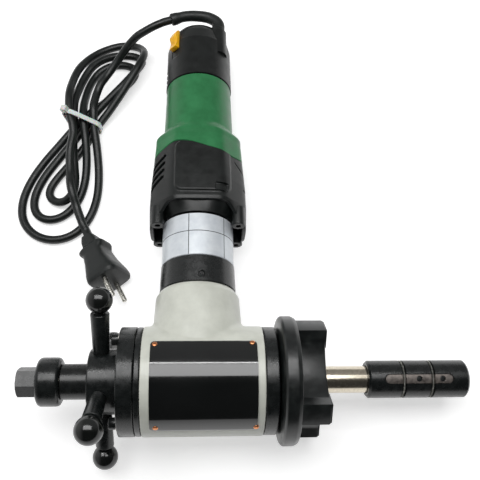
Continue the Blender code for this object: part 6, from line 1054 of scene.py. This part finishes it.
# The same black oxide over ground steel, wiped with oil: it shines more than the turned rings.
OILED_STEEL = finish("oiled ground steel", "#191C1B", "#101212", 6.0, (0.24, 0.32), 0.004, 0.6,
                     **{"IOR": 1.5, "Specular IOR Level": 0.5})
piece("stop_nut_round", [spun(NUT_PROFILE, closed=True)], "mandrel", ["stop_nut"], BLACK_OXIDE)
turn = full_turn(FEED_COLUMNS)
keyway = np.abs(from_angle(turn, -math.pi / 2) * FEED_RADIUS) - KEYWAY_HALF_WIDTH
radius = FEED_RADIUS - sunk(keyway, KEYWAY_DEPTH)
rows = [about_x(x, reach, turn) for x, reach in (
    (FEED_START, radius - FEED_EDGE), (FEED_START + FEED_EDGE, radius), (FEED_END - FEED_EDGE, radius),
    (FEED_END, radius - FEED_EDGE), (FEED_END, FEED_BORE), (FEED_START, FEED_BORE))]
piece("feed_sleeve_ground", [skin(rows, closed=True)], "mandrel", ["feed_sleeve"], OILED_STEEL)

# The mandrel's shaft: a nickelled steel tube that the feed sleeve pushes through the spindle. The draw rod
# runs in its bore.
SHAFT_PROFILE = ((-113.9, 5.3), (-113.9, 9.8, 0.5), (126.0, 9.8, 0.5), (126.0, 5.3))
# Nickelled steel: warm bright metal. The lathe's rings are too fine to show, so they are drawn from a grain of
# 0.5 mm that is squeezed six times along the shaft.
NICKEL = finish("nickelled steel shaft", "#DAD2C2", "#B7AD9A", 2.0, (0.16, 0.24), 0.006, 0.5,
                stretch=(6, 1, 1), **{"Metallic": 1.0})
piece("mandrel_tube", [spun(SHAFT_PROFILE, closed=True)], "mandrel", ["mandrel_shaft"], NICKEL)

# The mandrel's barrel and nose plug: blackened steel. The barrel has three slots for the jaws and two grooves
# round it for the springs that hold them in, and the plug closes its nose, with a dimple for a centre.
BARREL_START, BARREL_END = 125.0, 200.0
BARREL_RADIUS = 13.75
BARREL_CHAMFER = 1.6
BARREL_EASE, BARREL_EASE_DROP = 0.3, 0.2
BARREL_ROWS, BARREL_COLUMNS = 230, 300
BARREL_BORES = ((BARREL_END, 10.9), (194.0, 10.9), (BARREL_START, 10.3))
SPRING_PLACES = (151.0, 172.4)
GROOVE_HALF_WIDTH, GROOVE_RADIUS, GROOVE_EDGE = 1.3, 11.9, 0.5
JAW_TURN = 104
JAW_START, JAW_END = 136.7, 187.4
SLOT_HALF_WIDTH, SLOT_DEPTH, SLOT_EDGE = 3.5, 2.7, 0.4
NOSE_PROFILE = ((194.3, 0), (194.3, 10.6), (200.0, 10.6, 0.5), (200.0, 5.5, 0.4), (198.0, 4.6, 0.4),
                (198.0, 0))
turn = full_turn(BARREL_COLUMNS)
x = np.linspace(BARREL_START + BARREL_CHAMFER, BARREL_END - BARREL_CHAMFER, BARREL_ROWS)[:, None]
radius = np.full_like(x, BARREL_RADIUS)
for place in SPRING_PLACES:
    radius = radius - sunk(np.abs(x - place) - GROOVE_HALF_WIDTH, BARREL_RADIUS - GROOVE_RADIUS, GROOVE_EDGE)
for k in range(3):
    across = from_angle(turn, math.radians(JAW_TURN + 120 * k)) * BARREL_RADIUS
    slot = capsule(across, x - (JAW_START + JAW_END) / 2, SLOT_HALF_WIDTH, (JAW_END - JAW_START) / 2)
    radius = np.minimum(radius, BARREL_RADIUS - sunk(slot, SLOT_DEPTH, SLOT_EDGE))
end_radius, eased_radius = BARREL_RADIUS - BARREL_CHAMFER, BARREL_RADIUS - BARREL_EASE_DROP
ease = BARREL_CHAMFER - BARREL_EASE
rows = [about_x(BARREL_START, end_radius, turn), about_x(BARREL_START + ease, eased_radius, turn),
        *about_x(x, radius, turn), about_x(BARREL_END - ease, eased_radius, turn),
        about_x(BARREL_END, end_radius, turn), *(about_x(place, bore, turn) for place, bore in BARREL_BORES)]
piece("mandrel_barrel_slotted", [skin(rows, closed=True)], "mandrel", ["mandrel_barrel"], BLACK_OXIDE)
piece("nose_plug_dimpled", [spun(NOSE_PROFILE)], "mandrel", ["nose_plug"], BLACK_OXIDE)

# The garter springs: fine steel wire wound in a coil that is itself a ring, snapped into the grooves. Each
# point of the wire goes round the ring once and round the coil many times.
SPRING_TURNS, SPRING_POINTS_EACH_TURN, SPRING_SIDES = 88, 8, 6
SPRING_COIL, SPRING_WIRE, SPRING_REACH = 0.55, 0.24, 12.95
SPRING_SHARP = 80
# Drawn spring steel: darker than the machined steel, and bright along each turn.
SPRING_STEEL = finish("drawn spring steel", "#ACACA6", "#84847E", 1.5, (0.28, 0.40), 0.005, 0.3,
                      **{"Metallic": 0.9})
t = full_turn(SPRING_TURNS * SPRING_POINTS_EACH_TURN)
coil = t * SPRING_TURNS
for k, place in enumerate(SPRING_PLACES):
    line = about_x(place + SPRING_COIL * np.sin(coil), SPRING_REACH + SPRING_COIL * np.cos(coil), t)
    wire = tube(line, SPRING_WIRE, SPRING_SIDES, TO_RIGHT, closed=True)
    piece(f"garter_spring_wire_{k + 1}", [wire], "mandrel", [f"garter_spring_{k + 1}"], SPRING_STEEL,
          sharp=SPRING_SHARP)

# The jaws: three bars of tempered steel with round ends that lie in the slots and are pushed out by the rod's
# cones. Each is grooved for the springs and has two small holes in its top. A black disc sunk in each hole is
# painted shade that makes the hole look dark. Across it, its top is an arc.
JAW_HALF_WIDTH, JAW_TOP, JAW_FOOT = 3.2, 13.4, 11.3
JAW_PLAY = 0.35
JAW_END_TURN, JAW_END_LENGTH = 0.12, 3.6
JAW_ROWS, JAW_COLUMNS = (14, 130), 31
JAW_HOLES = (162.1, 179.6)
HOLE_RADIUS, HOLE_DEPTH, HOLE_EDGE = 2.0, 1.9, 0.4
# The black disc in each jaw hole, which is painted shade: its sides, and its profile of heights and radii.
JAW_HOLE_SHADE_SIDES = 36
JAW_HOLE_SHADE_DISC = ((11.0, 0), (11.0, 1.95), (12.3, 1.95, 0.2), (12.3, 0))
# Tempered steel: hardened, and grey brown from the oven.
TEMPERED = finish("tempered steel", "#7A736E", "#55504C", 2.5, (0.34, 0.48), 0.01, 0.5, **{"Metallic": 0.6})
start, end = JAW_START + JAW_PLAY, JAW_END - JAW_PLAY
round_end = JAW_HALF_WIDTH * (1 - np.cos(np.linspace(JAW_END_TURN, math.pi / 2, JAW_ROWS[0])))
straight = np.linspace(JAW_START + JAW_END_LENGTH, JAW_END - JAW_END_LENGTH, JAW_ROWS[1])[1:-1]
x = np.concatenate([start + round_end, straight, end - round_end[::-1]])[:, None]
inside = np.minimum(np.minimum(x - start, end - x), JAW_HALF_WIDTH)
half = np.sqrt(np.maximum(0.0, JAW_HALF_WIDTH ** 2 - (JAW_HALF_WIDTH - inside) ** 2))
across = half * np.linspace(-1, 1, JAW_COLUMNS)
top = np.sqrt(JAW_TOP ** 2 - across ** 2)
for place in SPRING_PLACES:
    top = top - sunk(np.abs(x - place) - GROOVE_HALF_WIDTH, JAW_TOP - GROOVE_RADIUS, GROOVE_EDGE)
for place in JAW_HOLES:
    top = top - sunk(np.hypot(across, x - place) - HOLE_RADIUS, HOLE_DEPTH, HOLE_EDGE)
across = np.concatenate([across, across[:, ::-1]], 1)
height = np.concatenate([top, np.full_like(top, JAW_FOOT)], 1)
for k in range(3):
    angle = math.radians(JAW_TURN + 120 * k)
    out = np.array((0, math.cos(angle), math.sin(angle)))
    rows = x[:, :, None] * TO_RIGHT + across[:, :, None] * np.cross(TO_RIGHT, out) + height[:, :, None] * out
    piece(f"clamping_jaw_{k + 1}", [skin(rows)], f"jaw_{k + 1}", [f"jaw_{k + 1}"], TEMPERED)
    # A black disc sunk in each of the jaw's holes: painted shade that makes the hole look dark.
    screws_and_shade_discs = [spun(JAW_HOLE_SHADE_DISC, (place, 0, 0), out, JAW_HOLE_SHADE_SIDES) for place in JAW_HOLES]
    piece(f"jaw_hole_shade_discs_{k + 1}", screws_and_shade_discs, f"jaw_{k + 1}", None, BLACK_OXIDE)

# The cutter head: forged steel, blackened, on the spindle's front end. A disc with a bevelled rim carries four
# lugs with round gullets between them, and on each a pad for a bit. A quarter of the body's outline is a lug's
# round tip and straight flank, a gullet's arc and the next lug's flank.
RIM_PROFILE = ((57.2, 17.3), (57.2, 30.0), (58.0, 38.5), (59.7, 45.5, 0.8), (61.2, 47.0, 0.8),
               (68.5, 47.0, 0.8), (71.5, 45.5, 0.8), (71.9, 30.0), (71.9, 17.3))
RIM_SIDES = 160
LUG_TURN = 45
LUG_TIP, LUG_HALF_WIDTH, LUG_FOOT = 45.5, 8.0, 36.0
GULLET_RADIUS = 26.5
TIP_POINTS, FLANK_POINTS, GULLET_POINTS = 14, 8, 40
BODY_START, BODY_END = 61.2, 91.0
BODY_STEPS = ((BODY_START, 0.0), (89.8, 0.0), (90.6, 0.25), (BODY_END, 0.9))
HEAD_BORE, HEAD_SINK = 10.5, 0.5
HEAD_RINGS = ((BODY_END, 18.5), (BODY_END - HEAD_SINK, 17.8), (BODY_END - HEAD_SINK, HEAD_BORE),
              (BODY_START, HEAD_BORE))
PAD_HALF_SIZE, PAD_CORNER, PAD_REACH = (7.25, 7.6), 1.0, 37.25
PAD_STEPS = ((90.5, 0), (91.3, 0), (91.8, 0.2), (92.0, 0.7))
# Oxide on forged steel: the same black over the rough scale of a forging, with paler worn patches.
FORGED_OXIDE = finish("oxide on forged steel", "#1C201F", "#101313", 7.0, (0.28, 0.42), 0.03, 0.9,
                      contrast=(0.45, 0.70), **{"IOR": 1.5, "Specular IOR Level": 0.55})
tip = math.asin(LUG_HALF_WIDTH / LUG_TIP)
flank = LUG_TIP * np.array((math.cos(tip), math.sin(tip)))
foot = np.array((LUG_FOOT, LUG_HALF_WIDTH))
chord = (foot + foot[::-1]) / 2
half_chord, sag = np.linalg.norm(foot - foot[::-1]) / 2, np.linalg.norm(chord) - GULLET_RADIUS
gullet = (half_chord ** 2 + sag ** 2) / (2 * sag)
middle = unit(chord) * (GULLET_RADIUS + gullet)
begin, end = (math.atan2(*(place - middle)[::-1]) % (2 * math.pi) for place in (foot, foot[::-1]))
arc, bow = np.linspace(begin, end, GULLET_POINTS), np.linspace(-tip, tip, TIP_POINTS)
quarter_loop = np.vstack([
    LUG_TIP * np.stack([np.cos(bow), np.sin(bow)], 1), np.linspace(flank, foot, FLANK_POINTS)[1:-1],
    middle + gullet * np.stack([np.cos(arc), np.sin(arc)], 1),
    np.linspace(foot[::-1], flank[::-1], FLANK_POINTS)[1:-1]])
ways = [(math.cos(angle), math.sin(angle)) for angle in (math.radians(LUG_TURN + 90 * k) for k in range(4))]
loop = np.vstack([quarter_loop @ np.array([(c, s), (-s, c)]) for c, s in ways])
rows = [np.column_stack([np.full(len(loop), x), loop - outward(loop) * inset]) for x, inset in BODY_STEPS]
bearing = np.arctan2(loop[:, 1], loop[:, 0])
rows += [about_x(x, radius, bearing) for x, radius in HEAD_RINGS]
skins = [spun(RIM_PROFILE, sides=RIM_SIDES, closed=True), skin(rows, closed=True)]
for c, s in ways:
    out = np.array((0, c, s))
    skins.append(swept(oblong(*PAD_HALF_SIZE, PAD_CORNER), PAD_STEPS, out * PAD_REACH,
                       (out, np.cross(TO_RIGHT, out), TO_RIGHT)))
piece("cutter_head_forging", skins, "cutter", ["cutter_head"], FORGED_OXIDE)

# The drive inside: gears, bearings, spindle, armature, stator, draw rod and rings, all of machined steel, and
# the armature's fan, of black nylon. They keep the CAD's shapes.
for name, obj in frame["nodes"].items():
    inner = BLACK_NYLON if name == "cooling_fan" else BRIGHT_STEEL
    for slot in obj.material_slots:
        slot.material = inner
    if not obj.material_slots:
        obj.data.materials.append(inner)

bpy.context.view_layer.update()
